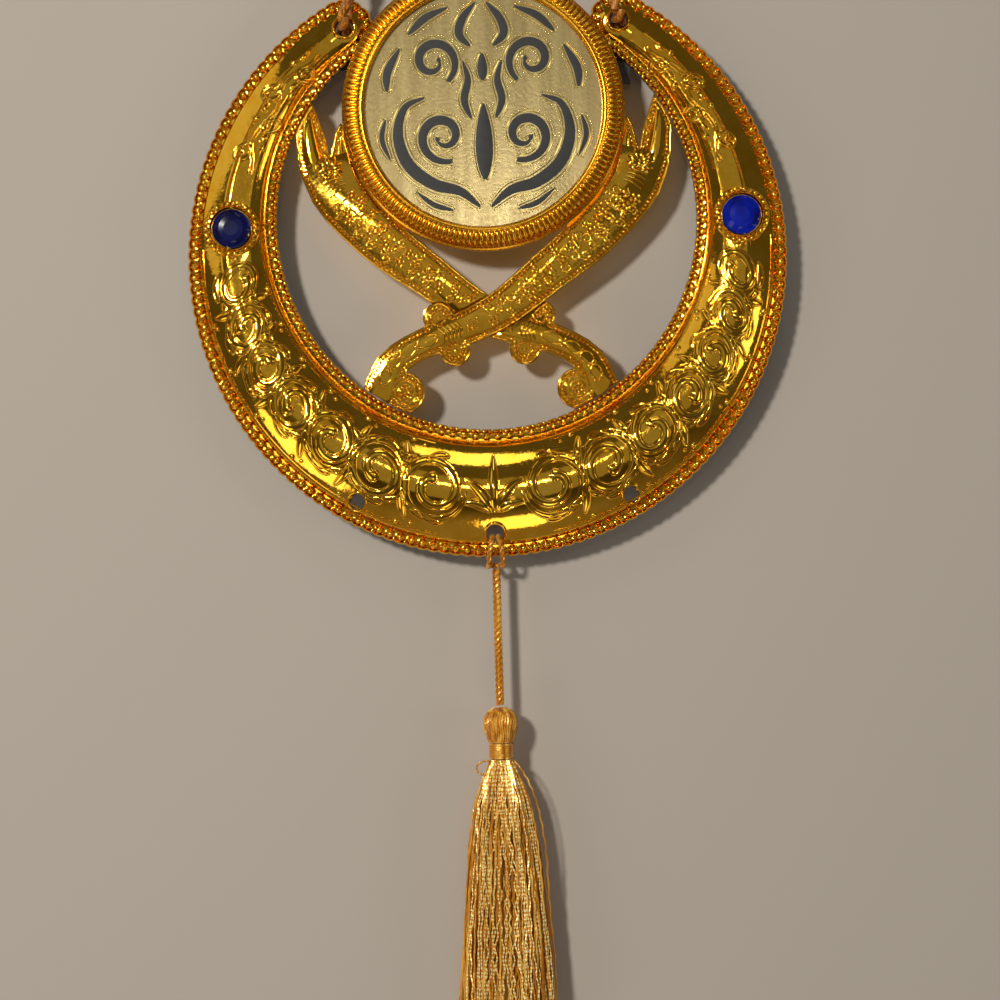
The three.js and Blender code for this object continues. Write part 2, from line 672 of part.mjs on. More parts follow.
// Cord end: it turns into the horn's hole and is knotted behind it
function cordEnd(side) {
  const knot = COVER_BACK + SEAT_GAP + KNOT_RADIUS;
  const profile = [[0, CORD_DEPTH - CORD_RADIUS]];
  for (const turn of [60, 30, 0]) {
    const angle = THREE.MathUtils.degToRad(turn);
    profile.push([CORD_RADIUS * Math.cos(angle), CORD_DEPTH - CORD_RADIUS * Math.sin(angle)]);
  }
  profile.push([CORD_RADIUS, knot - KNOT_RADIUS]);
  for (const turn of [-45, -20, 10, 40, 65]) {
    const angle = THREE.MathUtils.degToRad(turn);
    profile.push([KNOT_RADIUS * Math.cos(angle), knot + KNOT_RADIUS * Math.sin(angle)]);
  }
  profile.push([0, knot + KNOT_RADIUS]);
  return closed(turned(profile, side * TIP.x, TIP.y, CORD_END_SIDES));
}

// Tassel loop: the cord's two strands run through the bottom hole and round the rim.
// One strand's way round, from the bar in front to the bar again: [across, depth, drop
// below the hole's centre].
const LOOP_ROUTE = [
  [2, -0.9, 9.8],
  [2, -3.4, 9.3],
  [2, -5, 7.5],
  [1.8, -5.3, 5.2],
  [1.4, -6, 3.2],
  [1, -6.2, 1.8],
  [0.95, -4.8, 1.1],
  [0.95, -1, 1.1],
  [0.95, 2, 1.2],
  [1.2, 3.2, 2.8],
  [2, 3.2, 7.5],
  [2, 1.8, 9.3],
  [2, -0.4, 9.8],
].map(([across, depth, drop]) => [across, depth, TASSEL_HOLE_HEIGHT - drop]);
const LOOP_BAR = LOOP_ROUTE[0];

function tasselLoop() {
  const bar = new THREE.CylinderGeometry(LOOP_BAR_RADIUS, LOOP_BAR_RADIUS, 2 * LOOP_BAR_HALF, 10);
  bar.rotateZ(Math.PI / 2);
  bar.translate(0, LOOP_BAR[1], LOOP_BAR[2]);
  let loop = solid(bar);
  for (const side of both) {
    const route = LOOP_ROUTE.map(([x, y, z]) => new THREE.Vector3(side * x, y, z));
    loop = loop.add(solid(tube(new THREE.CatmullRomCurve3(route), LOOP_RADIUS, LOOP_SIDES, LOOP_STEPS)));
  }
  return geometryOf(loop);
}

// Tassel cord: hangs from the loop's bar and ends in a round end over the tassel's head
const TASSEL_CORD_TOP = LOOP_BAR[2] - LOOP_BAR_RADIUS - SEAT_GAP;
const TASSEL_PIVOT = TASSEL_CORD_TOP - TASSEL_CORD_LENGTH;

function tasselCord() {
  const profile = [[0, TASSEL_CORD_TOP], [TASSEL_CORD_RADIUS, TASSEL_CORD_TOP]];
  for (const turn of [0, 30, 60]) {
    const angle = THREE.MathUtils.degToRad(turn);
    profile.push([TASSEL_CORD_RADIUS * Math.cos(angle), TASSEL_PIVOT - TASSEL_CORD_RADIUS * Math.sin(angle)]);
  }
  profile.push([0, TASSEL_PIVOT - TASSEL_CORD_RADIUS]);
  return closed(turnedUpright(profile, LOOP_BAR[1], CORD_END_SIDES));
}

const HEAD_TOP = TASSEL_PIVOT - TASSEL_CORD_RADIUS - SEAT_GAP;
const HEAD_FOOT = HEAD_TOP - HEAD_LENGTH;

// Tassel head: yarn folded over a round core: [share of radius, share of length]
const HEAD_PROFILE = [[0.4, 0.02], [0.72, 0.12], [0.95, 0.3], [1, 0.48], [0.95, 0.66], [0.84, 0.82]];

function tasselHead() {
  const profile = [[0, HEAD_TOP]];
  for (const [width, fall] of HEAD_PROFILE) {
    profile.push([HEAD_RADIUS * width, HEAD_TOP - HEAD_LENGTH * fall]);
  }
  profile.push([HEAD_FOOT_RADIUS, HEAD_FOOT], [0, HEAD_FOOT]);
  return closed(turnedUpright(profile, LOOP_BAR[1], ROUND_SIDES));
}

const NECK_TOP = HEAD_FOOT - GLUE_GAP;
const NECK_FOOT = NECK_TOP - NECK_LENGTH;

// Tassel neck: yarn whipped round the top of the skirt
function tasselNeck() {
  const bore = NECK_CORE_RADIUS + GLUE_GAP;
  const bulge = NECK_RADIUS;
  const end = NECK_RADIUS - NECK_ROUNDING;
  return closed(turnedUpright([
    [bore, NECK_TOP],
    [end, NECK_TOP],
    [bulge, NECK_TOP - 3 * NECK_ROUNDING],
    [bulge, NECK_FOOT + 3 * NECK_ROUNDING],
    [end, NECK_FOOT],
    [bore, NECK_FOOT],
    [bore, NECK_TOP],
  ], LOOP_BAR[1], ROUND_SIDES));
}

// Tassel skirt: loose yarn that widens as it falls: [share of length, share of radius]
const SKIRT_PROFILE = [
  [0, 0.27], [0.08, 0.44], [0.16, 0.59], [0.32, 0.7],
  [0.48, 0.79], [0.66, 0.88], [0.84, 0.95], [1, 1],
];

function tasselSkirt() {
  const ring = (radius, flatness, folds, height) => {
    const points = [];
    for (let i = 0; i < SKIRT_SIDES; i++) {
      const angle = (2 * Math.PI * i) / SKIRT_SIDES;
      const fold = 1 + folds * Math.cos(SKIRT_FOLDS * angle);
      const x = radius * fold * Math.cos(angle);
      const y = radius * fold * flatness * Math.sin(angle);
      points.push(new THREE.Vector3(x, y + LOOP_BAR[1], height));
    }
    return points;
  };
  const rings = [ring(NECK_CORE_RADIUS, 1, 0, NECK_TOP), ring(NECK_CORE_RADIUS, 1, 0, NECK_FOOT - GLUE_GAP)];
  for (const [fall, width] of SKIRT_PROFILE) {
    const spread = Math.min(1, fall / SKIRT_SPREAD_SHARE);
    const flatness = THREE.MathUtils.lerp(1, SKIRT_FLATNESS, spread);
    const height = NECK_FOOT - GLUE_GAP - SKIRT_SHOULDER - SKIRT_LENGTH * fall;
    rings.push(ring(SKIRT_RADIUS * width, flatness, SKIRT_FOLD_DEPTH * spread, height));
  }
  return closed(loft(rings));
}

addPiece("crescent_front", crescentFront(), gold);
addPiece("crescent_back", crescentBack(), blackPlastic);
addPiece("stone_left", stone(-1), blueAcrylic);
addPiece("stone_right", stone(1), blueAcrylic);
addPiece("sword_rear", sword(-1, false), gold);
addPiece("sword_front", sword(1, true), gold);
addPiece("medallion_bezel", bezel(), gold);
addPiece("medallion_disc", medallionDisc(), goldFoil);
addPiece("medallion_back", medallionBack(), blackPlastic);
addPiece("rear_bridge", rearBridge(), blackPlastic);
addPiece("hanging_cord", hangingCord(), cordSatin);
addPiece("cord_end_left", cordEnd(-1), cordSatin);
addPiece("cord_end_right", cordEnd(1), cordSatin);
addPiece("tassel_loop", tasselLoop(), tasselSatin);
addPiece("tassel_cord", tasselCord(), tasselSatin);
addPiece("tassel_head", tasselHead(), tasselSatin);
addPiece("tassel_neck", tasselNeck(), tasselSatin);
addPiece("tassel_skirt", tasselSkirt(), tasselSatin);

// The hook's place, under the arch of the hanging cord, becomes the origin
ornament.position.set(0, -CORD_DEPTH, -(CORD_TOP - CORD_RADIUS));

export default ornament;
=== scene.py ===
import math
import random

import bmesh
import bpy
from mathutils import Matrix, Vector
from mathutils.kdtree import KDTree


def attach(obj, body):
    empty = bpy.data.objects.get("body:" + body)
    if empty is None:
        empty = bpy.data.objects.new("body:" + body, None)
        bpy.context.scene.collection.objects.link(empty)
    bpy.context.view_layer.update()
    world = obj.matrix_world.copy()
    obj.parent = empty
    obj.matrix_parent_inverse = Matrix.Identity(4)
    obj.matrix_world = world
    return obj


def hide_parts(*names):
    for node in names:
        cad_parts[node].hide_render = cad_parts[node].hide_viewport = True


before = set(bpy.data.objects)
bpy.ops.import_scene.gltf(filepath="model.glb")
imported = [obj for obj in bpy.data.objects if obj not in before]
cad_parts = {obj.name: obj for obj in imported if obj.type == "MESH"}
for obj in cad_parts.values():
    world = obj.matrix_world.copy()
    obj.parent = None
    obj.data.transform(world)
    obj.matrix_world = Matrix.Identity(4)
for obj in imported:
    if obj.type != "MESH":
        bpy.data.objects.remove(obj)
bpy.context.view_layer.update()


# Camera
# The photograph looks square on at the crescent from about two thirds of a metre, and the
# ornament hangs a little turned in it, so that its right horn is the higher one.
CAMERA_AWAY = 0.68
PICTURE_WIDE = 0.301
PICTURE_TURN = 1.6
PICTURE_MIDDLE = (1.7, -72.9)
SENSOR_WIDE = 36
CRESCENT_OUT, CRESCENT_DOWN = 5.8, 185.921


def place(x, y, z):
    """A point in the row frame, from millimetres off the crescent's own centre."""
    return Vector((x, y + CRESCENT_OUT, z - CRESCENT_DOWN)) / 1000


camera_data = bpy.data.cameras.new("camera")
camera_data.sensor_width = SENSOR_WIDE
camera_data.lens = SENSOR_WIDE * CAMERA_AWAY / PICTURE_WIDE
camera = bpy.data.objects.new("camera", camera_data)
camera.matrix_world = (
    Matrix.Translation(place(PICTURE_MIDDLE[0], -1000 * CAMERA_AWAY, PICTURE_MIDDLE[1]))
    @ Matrix.Rotation(math.radians(90), 4, "X")
    @ Matrix.Rotation(math.radians(-PICTURE_TURN), 4, "Z")
)
bpy.context.scene.collection.objects.link(camera)
bpy.context.scene.camera = camera
bpy.context.scene.view_settings.view_transform = "Standard"


# Wall and floor
# A plain matt wall in warm pale grey stands just behind the cord's knots, over a floor of
# the same paint. The wall lets a view or a lamp from behind it through.
WALL_PAINT = "#a9a197"
WALL_BEHIND = 0.0164
STAGE_REACH = 2
FLOOR_LEVEL = -1.4


def colour(code):
    """An sRGB hex code as a linear colour."""
    parts = [int(code[i : i + 2], 16) / 255 for i in (1, 3, 5)]
    linear = [c / 12.92 if c <= 0.04045 else ((c + 0.055) / 1.055) ** 2.4 for c in parts]
    return (*linear, 1.0)


def add_node(tree, kind, inputs=None, stops=(), **settings):
    """Adds a node with its settings and colour stops, and sets or links each named input."""
    node = tree.nodes.new("ShaderNode" + kind)
    for name, value in settings.items():
        setattr(node, name, value)
    for name, value in (inputs or {}).items():
        if isinstance(value, bpy.types.Node):
            value = value.outputs[0]
        if isinstance(value, bpy.types.NodeSocket):
            tree.links.new(value, node.inputs[name])
        else:
            node.inputs[name].default_value = value
    for i, (at, code) in enumerate(stops):
        stop = node.color_ramp.elements[i] if i < 2 else node.color_ramp.elements.new(at)
        stop.position, stop.color = at, colour(code)
    return node


def empty_material(name):
    """A material without nodes, and its node tree."""
    material = bpy.data.materials.new(name)
    material.use_nodes = True
    material.node_tree.nodes.clear()
    return material, material.node_tree


wall_paint, tree = empty_material("matt wall paint")
rays = add_node(tree, "LightPath").outputs
behind = add_node(tree, "NewGeometry").outputs["Backfacing"]
seen = add_node(tree, "Math", {0: behind, 1: rays["Is Camera Ray"]}, operation="MULTIPLY")
let_through = add_node(tree, "Math", {0: seen, 1: rays["Is Shadow Ray"]}, operation="MAXIMUM")
paint = add_node(tree, "BsdfPrincipled", {"Base Color": colour(WALL_PAINT), "Roughness": 0.9})
clear = add_node(tree, "BsdfTransparent")
mixed = add_node(tree, "MixShader", {0: let_through, 1: paint, 2: clear})
add_node(tree, "OutputMaterial", {"Surface": mixed})

stage = bmesh.new()
bmesh.ops.create_grid(stage, x_segments=1, y_segments=1, size=STAGE_REACH)
upright = Matrix.Rotation(math.radians(90), 3, "X")
bmesh.ops.rotate(stage, verts=stage.verts, matrix=upright)
wall_middle = (0, WALL_BEHIND, FLOOR_LEVEL + STAGE_REACH)
bmesh.ops.translate(stage, verts=stage.verts, vec=wall_middle)
floor = bmesh.ops.create_grid(stage, x_segments=1, y_segments=1, size=STAGE_REACH)
floor_middle = (0, WALL_BEHIND - STAGE_REACH, FLOOR_LEVEL)
bmesh.ops.translate(stage, verts=floor["verts"], vec=floor_middle)
stage_mesh = bpy.data.meshes.new("wall_and_floor")
stage.to_mesh(stage_mesh)
stage.free()
stage_mesh.materials.append(wall_paint)
wall = bpy.data.objects.new("wall_and_floor", stage_mesh)
bpy.context.scene.collection.objects.link(wall)


# Lamps
# A small key lamp high on the left draws the shadows to the right. The plating mirrors dim
# soft boxes round the ornament and a broad card in front, and one box lights the back.
LAMPS = [
    ("key", (-0.5, -1.15, 0.1), 0.14, 13, "#fffaf2"),
    ("left_box", (-0.72, -0.5, -0.78), 0.46, 1.1, "#fffaf2"),
    ("high_left_box", (-0.78, -0.55, 0.32), 0.6, 0.5, "#fffaf2"),
    ("right_box", (0.95, -0.6, -0.4), 0.36, 0.9, "#fffaf2"),
    ("top_box", (0.05, -0.5, 0.6), 0.34, 0.6, "#ffffff"),
    ("low_box", (0.1, -0.6, -1.1), 0.36, 0.7, "#fff8ea"),
    ("front_card", (0.0, -1.9, -0.1), 1.6, 1.2, "#ffffff"),
    ("near_glint", (0.0, -1.0, -0.06), 0.07, 0.22, "#ffffff"),
    ("back_box", (-0.3, 1.1, 0.1), 0.9, 9, "#fffaf2"),
]
AIM = (0, 0, -20)
ROOM_AIR, ROOM_LIGHT = "#c9c4bc", 0.15
for name, where, size, power, tint in LAMPS:
    lamp_data = bpy.data.lights.new(name, "AREA")
    lamp_data.shape = "DISK"
    lamp_data.size = size
    lamp_data.energy = power
    lamp_data.color = colour(tint)[:3]
    lamp = bpy.data.objects.new(name, lamp_data)
    lamp.location = Vector(where)
    lamp.rotation_euler = (place(*AIM) - lamp.location).to_track_quat("-Z", "Y").to_euler()
    bpy.context.scene.collection.objects.link(lamp)

world = bpy.data.worlds.new("room")
world.use_nodes = True
tree = world.node_tree
tree.nodes.clear()
air = add_node(tree, "Background", {"Color": colour(ROOM_AIR), "Strength": ROOM_LIGHT})
add_node(tree, "OutputWorld", {"Surface": air})
bpy.context.scene.world = world


# Hanging cord
# A laid cord of two amber satin plies, 4.4 mm thick. It rises from both horns, and its round
# top goes over the door's hook, so the load keeps its legs straight.
CORD_THICK = 4.4
CORD_PLIES, CORD_PLY, CORD_LAY = 2, 2.3, 13
ARCH_RADIUS = 20
CORD_TOP = 188.121
CORD_DEPTH = -CRESCENT_OUT
HORN_TIP = Vector((41.143, 70.121))
ABOVE_HORN = 0.3
LEG_STEPS, ARCH_STEPS, CORD_STEP = 14, 24, 1.3


def even_steps(points, step):
    """Points at even steps along a row of points."""
    ends = [0.0]
    for a, b in zip(points, points[1:]):
        ends.append(ends[-1] + (b - a).length)
    count = max(2, round(ends[-1] / step))
    walked, made = 0, []
    for i in range(count + 1):
        at = ends[-1] * i / count
        while walked < len(points) - 2 and ends[walked + 1] < at:
            walked += 1
        share = (at - ends[walked]) / max(1e-9, ends[walked + 1] - ends[walked])
        made.append(points[walked].lerp(points[walked + 1], share))
    return made


def smooth_line(points, per=6):
    """More points on a smooth line through the given ones."""
    ends = [points[0] * 2 - points[1], *points, points[-1] * 2 - points[-2]]
    made = []
    for a, b, c, d in zip(ends, ends[1:], ends[2:], ends[3:]):
        for k in range(per):
            t = k / per
            squared = (2 * a - 5 * b + 4 * c - d) * t * t
            made.append(0.5 * (2 * b + (c - a) * t + squared + (3 * b - a - 3 * c + d) * t**3))
    return [*made, points[-1]]


def laid_plies(points, plies, reach, lay, turn=0.0):
    """The runs of a laid cord's plies: each winds round the line of points once a lay."""
    runs = [[] for _ in range(plies)]
    side = (points[1] - points[0]).normalized().orthogonal().normalized()
    walked = 0.0
    for i, point in enumerate(points):
        ahead = (points[min(i + 1, len(points) - 1)] - points[max(i - 1, 0)]).normalized()
        side = (side - ahead * side.dot(ahead)).normalized()
        walked += (point - points[i - 1]).length if i else 0
        for k in range(plies):
            angle = turn + 2 * math.pi * (k / plies + walked / lay)
            runs[k].append((*(point + Matrix.Rotation(angle, 3, ahead) @ side * reach), 1))
    return runs


def tubes(runs, thick, resolution=2, cyclic=False):
    """A bmesh of round tubes. Each point of a run is x, y, z and a share of the thickness."""
    line = bpy.data.curves.new("line", "CURVE")
    line.dimensions = "3D"
    line.bevel_depth = thick / 2
    line.bevel_resolution = resolution
    line.use_fill_caps = not cyclic
    for run in runs:
        spline = line.splines.new("POLY")
        spline.points.add(len(run) - 1)
        for point, (x, y, z, share) in zip(spline.points, run):
            point.co = (x, y, z, 1)
            point.radius = share
        spline.use_cyclic_u = cyclic
    holder = bpy.data.objects.new("line", line)
    mesh = bpy.data.meshes.new_from_object(holder)
    shape = bmesh.new()
    shape.from_mesh(mesh)
    bpy.data.objects.remove(holder)
    bpy.data.meshes.remove(mesh)
    return shape


def join(into, other):
    """Adds a second bmesh to the first."""
    mesh = bpy.data.meshes.new("joined")
    other.to_mesh(mesh)
    other.free()
    into.from_mesh(mesh)
    bpy.data.meshes.remove(mesh)


def make_piece(name, shape, materials, body, sharp=40):
    """Makes an object of a bmesh in millimetres, which moves with a body of the frame."""
    for face in shape.faces:
        face.smooth = True
    for edge in shape.edges:
        flat = len(edge.link_faces) != 2 or edge.calc_face_angle(0) < math.radians(sharp)
        edge.smooth = flat
    mesh = bpy.data.meshes.new(name)
    shape.to_mesh(mesh)
    shape.free()
    mesh.transform(Matrix.Translation(place(0, 0, 0)) @ Matrix.Scale(0.001, 4))
    for material in materials:
        mesh.materials.append(material)
    piece = bpy.data.objects.new(name, mesh)
    bpy.context.scene.collection.objects.link(piece)
    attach(piece, body)
    return piece


def new_material(name, noises, stops, looks, rough=None, bumps=()):
    """A material under noises over the object's metres: scale, detail and roughness.

    The first noise colours it by the stops. A noise may set how rough the surface is, by its
    number and the range, and others raise bumps, by their number, strength and height.
    """
    material, tree = empty_material(name)
    metres = add_node(tree, "TexCoord").outputs["Object"]
    patterns = []
    for scale, detail, roughness in noises:
        scales = scale if isinstance(scale, tuple) else (scale, scale, scale)
        spread = add_node(tree, "Mapping", {"Vector": metres, "Scale": scales})
        values = {"Vector": spread, "Scale": 1, "Detail": detail, "Roughness": roughness}
        patterns.append(add_node(tree, "TexNoise", values))
    looks = {"Base Color": add_node(tree, "ValToRGB", {"Fac": patterns[0]}, stops), **looks}
    if rough:
        ends = zip(("From Min", "From Max", "To Min", "To Max"), rough[1:])
        dull = {"Value": patterns[rough[0]], **dict(ends)}
        looks["Roughness"] = add_node(tree, "MapRange", dull)
    for number, strength, height in bumps:
        raised = {"Height": patterns[number], "Strength": strength, "Distance": height}
        if "Normal" in looks:
            raised["Normal"] = looks["Normal"]
        looks["Normal"] = add_node(tree, "Bump", raised)
    surface = add_node(tree, "BsdfPrincipled", looks)
    add_node(tree, "OutputMaterial", {"Surface": surface})
    return material


# Viscose satin cord: silky long fibres lie along each ply. Its colour runs by a noise from
# deep orange brown, painted furrow shade, to pale amber, a painted sheen of the crests. The
# fibres are drawn coarser than real, so that they show.
cord_satin = new_material(
    "laid viscose satin",
    [((1500, 1500, 260), 3, 0.5)],
    [(0.3, "#5e2c06"), (0.5, "#a5620f"), (0.72, "#d8992c")],
    {"Roughness": 0.42, "Metallic": 0.15, "Sheen Weight": 0.12, "Sheen Roughness": 0.4},
    bumps=[(0, 0.5, 0.00015)],
)

arch_centre = Vector((0, CORD_TOP - ARCH_RADIUS))
to_horn = HORN_TIP - arch_centre
meet = math.atan2(to_horn.y, to_horn.x) + math.acos(ARCH_RADIUS / to_horn.length)
touch = arch_centre + ARCH_RADIUS * Vector((math.cos(meet), math.sin(meet)))
foot = HORN_TIP + (touch - HORN_TIP).normalized() * (CORD_THICK / 2 + ABOVE_HORN)
leg = [foot.lerp(touch, i / LEG_STEPS) for i in range(LEG_STEPS)]
arch = []
for i in range(ARCH_STEPS + 1):
    angle = meet + (math.pi - 2 * meet) * i / ARCH_STEPS
    arch.append(arch_centre + ARCH_RADIUS * Vector((math.cos(angle), math.sin(angle))))
cord_line = leg + arch + [Vector((-p.x, p.y)) for p in reversed(leg)]
cord_line = even_steps([Vector((p.x, CORD_DEPTH, p.y)) for p in cord_line], CORD_STEP)
plies = laid_plies(cord_line, CORD_PLIES, (CORD_THICK - CORD_PLY) / 2, CORD_LAY)
hanging_cord = make_piece("hanging_rope", tubes(plies, CORD_PLY), [cord_satin], "cord")
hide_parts("hanging_cord")


# Cord ends
# Below each leg the same cord turns into the horn's hole, and an overhand knot behind the
# back cover holds it.
KNOT_MIDDLE = 5.3
KNOT_STEPS = 60
BEND = [(0, 0.05, 2.35), (0, 0.5, 1.6), (0, 1.7, 1.0), (0, 3.6, 0.75)]
for side, node in ((-1, "cord_end_left"), (1, "cord_end_right")):
    hole = Vector((side * HORN_TIP.x, 0, HORN_TIP.y))
    stub = [Vector((x, y + CORD_DEPTH, z)) + hole for x, y, z in BEND]
    stub.append(hole + Vector((0, KNOT_MIDDLE - 1, 0)))
    stub = even_steps(smooth_line(stub), 0.7)
    shape = tubes(laid_plies(stub, CORD_PLIES, 0.95, CORD_LAY, turn=1.1), 2.1)
    knot = []
    for i in range(KNOT_STEPS):
        t = 2 * math.pi * i / KNOT_STEPS
        spread = 1.5 + 0.85 * math.cos(3 * t)
        x, z = hole.x + spread * math.cos(2 * t), hole.z + spread * math.sin(2 * t)
        knot.append((x, KNOT_MIDDLE + 1.5 * math.sin(3 * t), z, 1))
    join(shape, tubes([knot], 2.3, cyclic=True))
    end = make_piece(node.replace("cord_end", "cord_knot"), shape, [cord_satin], "pendant")
    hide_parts(node)
cord_path = [place(*p) for p in cord_line]


# Tassel cord
# Twisted viscose thread in pale gold, doubled where it leaves the loop. It hangs straight
# and carries the tassel's head.
TASSEL_DEPTH = -0.9
TASSEL_CORD_TOP = -93.9
TASSEL_PIVOT = -133.3
THREAD_PLIES, THREAD_PLY, THREAD_REACH, THREAD_LAY = 3, 1.25, 0.72, 5.4

# Bright viscose yarn: round shiny filaments on a warm yellow orange. Its colour runs by a
# noise from deep orange, painted shade between the strands, to pale yellow, painted glints.
# Both patterns are drawn coarser than the real filaments.
yarn = new_material(
    "bright viscose yarn",
    [((700, 700, 45), 2, 0.5), (900, 2, 0.5)],
    [(0.32, "#a3600b"), (0.5, "#d38e20"), (0.7, "#f4cc64")],
    {"Roughness": 0.3, "Metallic": 0.3, "Sheen Weight": 0.2, "Sheen Roughness": 0.35},
    bumps=[(1, 0.6, 0.0003)],
)

thread_ends = [(0, TASSEL_DEPTH, z) for z in (TASSEL_CORD_TOP, TASSEL_PIVOT - 0.9)]
thread_line = even_steps([Vector(p) for p in thread_ends], 0.45)
shape = tubes(laid_plies(thread_line, THREAD_PLIES, THREAD_REACH, THREAD_LAY), THREAD_PLY)
tassel_thread = make_piece("tassel_thread", shape, [yarn], "tassel_cord")
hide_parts("tassel_cord")


# Tassel loop
# The doubled thread goes through the bottom hole and over the rim, and its bight closes
# round its own cord below the crescent.
LOOP_BAR = -92.6
LOOP_BAR_REACH = 2.7
LOOP_LAY = 3.6
LOOP_ROUTE = [
    (2, -0.9, -92.6), (2, -3.4, -92.1), (2, -5, -90.3), (1.8, -5.3, -88), (1.4, -6, -86),
    (1, -6.2, -84.6), (0.95, -4.8, -83.9), (0.95, -1, -83.9), (0.95, 2, -84), (1.2, 3.2, -85.6),
    (2, 3.2, -90.3), (2, 1.8, -92.1), (2, -0.4, -92.6),
]
shape = bmesh.new()
for side in (-1, 1):
    route = smooth_line([Vector((side * x, y, z)) for x, y, z in LOOP_ROUTE])
    join(shape, tubes(laid_plies(even_steps(route, 0.5), 2, 0.4, LOOP_LAY), 0.9))
bar = [Vector((x, TASSEL_DEPTH, LOOP_BAR)) for x in (-LOOP_BAR_REACH, LOOP_BAR_REACH)]
join(shape, tubes(laid_plies(even_steps(bar, 0.5), 2, 0.45, LOOP_LAY), 1.05))
loop = make_piece("tassel_lark_loop", shape, [yarn], "loop")
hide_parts("tassel_loop")


# Tassel head
# Yarn folded over a wooden bead, so about forty strands run down it side by side and draw
# in to the neck.
HEAD_TOP = TASSEL_PIVOT - 1.7
HEAD_LENGTH = 10.7
HEAD_RADIUS = 5.3
HEAD_STRANDS = 38
HEAD_PROFILE = [
    (0, 0), (0.4, 0.02), (0.72, 0.12), (0.93, 0.29), (0.99, 0.47), (0.94, 0.66), (0.82, 0.84),
    (0.68, 1),
]


def spun(points, middle, axis, steps, closed=False):
    """A bmesh of a row of points that is turned once round an axis, with its normals unset."""
    shape = bmesh.new()
    verts = [shape.verts.new(p) for p in points]
    for a, b in zip(verts, verts[1:] + (verts[:1] if closed else [])):
        shape.edges.new((a, b))
    bmesh.ops.spin(
        shape, geom=shape.verts[:] + shape.edges[:], cent=middle, axis=axis,
        angle=2 * math.pi, steps=steps, use_merge=True,
    )
    return shape


outline = smooth_line([Vector((w, 0, f)) for w, f in HEAD_PROFILE], 4) + [Vector((0, 0, 1))]
outline = [(p.x * HEAD_RADIUS, TASSEL_DEPTH, HEAD_TOP - p.z * HEAD_LENGTH) for p in outline]
shape = spun(outline, (0, TASSEL_DEPTH, 0), (0, 0, 1), HEAD_STRANDS * 4)
bmesh.ops.remove_doubles(shape, verts=shape.verts, dist=0.001)
for vert in shape.verts:
    x, y = vert.co.x, vert.co.y - TASSEL_DEPTH
    angle = math.atan2(y, x) + 0.06 * math.sin(vert.co.z * 0.9 + 3 * math.atan2(y, x))
    ridge = 0.9 + 0.1 * abs(math.sin(angle * HEAD_STRANDS / 2)) ** 0.7
    vert.co.x, vert.co.y = x * ridge, TASSEL_DEPTH + y * ridge
bmesh.ops.recalc_face_normals(shape, faces=shape.faces)
head = make_piece("tassel_head_yarn", shape, [yarn], "tassel")
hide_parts("tassel_head")


# Tassel neck
# One thread is whipped round the yarn below the head in close turns.
NECK_TOP = HEAD_TOP - HEAD_LENGTH - 0.2
NECK_LENGTH = 4.6
NECK_RADIUS = 3.4
NECK_TURN = 0.52
TURN_STEPS = 28
shape = bmesh.new()
bmesh.ops.create_cone(
    shape, cap_ends=True, segments=40, radius1=NECK_RADIUS, radius2=NECK_RADIUS,
    depth=NECK_LENGTH - 0.1,
    matrix=Matrix.Translation((0, TASSEL_DEPTH, NECK_TOP - NECK_LENGTH / 2)),
)
whipping = []
for i in range(int((NECK_LENGTH - NECK_TURN) / NECK_TURN * TURN_STEPS)):
    x, y = ((NECK_RADIUS + 0.02) * f(2 * math.pi * i / TURN_STEPS) for f in (math.cos, math.sin))
    whipping.append((x, TASSEL_DEPTH + y, NECK_TOP - NECK_TURN * (0.5 + i / TURN_STEPS), 1))
join(shape, tubes([whipping], 0.6, resolution=1))
neck = make_piece("tassel_whipping", shape, [yarn], "tassel")
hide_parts("tassel_neck")


# Tassel skirt
# A few hundred loose ends of crinkled yarn hang from the whipping and spread as they fall.
# Two strands hang apart on the right, and a short one loops out at the top left.
SKIRT_TOP = NECK_TOP - NECK_LENGTH - 0.2
SKIRT_LENGTH = 85
SKIRT_RADIUS = 15
SKIRT_FLATNESS = 0.62
SKIRT_PROFILE = [
    (0, 0.22), (0.08, 0.42), (0.16, 0.57), (0.32, 0.7), (0.48, 0.79), (0.66, 0.88), (0.84, 0.95),
    (1, 1),
]
SKIRT_ENDS, END_STEPS, YARN_THICK = 250, 45, 0.62
GIMP_ENDS, GIMP_STEPS, GIMP_THICK = 46, 89, 0.6
GOLDEN_ANGLE = 2.399963
CORE_SHARE, CORE_FALL = 0.66, 0.96
STRAYS = [
    [
        (2.8, -0.2, 0), (5.2, -1, -2.2), (8.4, -1.5, -8), (10.8, -1.2, -16), (12.6, -0.8, -28),
        (13.2, 0, -44), (14.4, 0.4, -62), (14.8, 0.8, -84),
    ],
    [
        (2.2, -2.2, -1), (4.9, -2.8, -5), (7.6, -3, -11), (9.4, -3, -20), (10.9, -3.6, -34),
        (11.4, -3.9, -50), (12.2, -4.2, -66), (12.6, -4.2, -83),
    ],
    [
        (-2.6, -1.2, -0.6), (-5.4, -1.8, -0.4), (-7.4, -2, -1.6), (-7.2, -2.2, -3.6),
        (-5.2, -2.4, -4.4), (-3.6, -2.6, -4.6),
    ],
]

# Gimp thread: a bright film is wound round a core. Its glints are painted into its colour as
# pale dashes on amber, which are drawn longer than the real turns.
gimp, tree = empty_material("gold gimp thread with painted glints")
metres = add_node(tree, "TexCoord").outputs["Object"]
waves = {"Vector": metres, "Scale": 260, "Distortion": 4, "Detail": 1, "Detail Scale": 3}
painted_glints = add_node(tree, "TexWave", waves, bands_direction="Z").outputs["Fac"]
tone = add_node(tree, "ValToRGB", {"Fac": painted_glints}, stops=[(0.3, "#d8962c"), (0.62, "#ffeaa0")])
film = {"Base Color": tone, "Metallic": 0.35, "Roughness": 0.34}
wound = add_node(tree, "BsdfPrincipled", film)
add_node(tree, "OutputMaterial", {"Surface": wound})


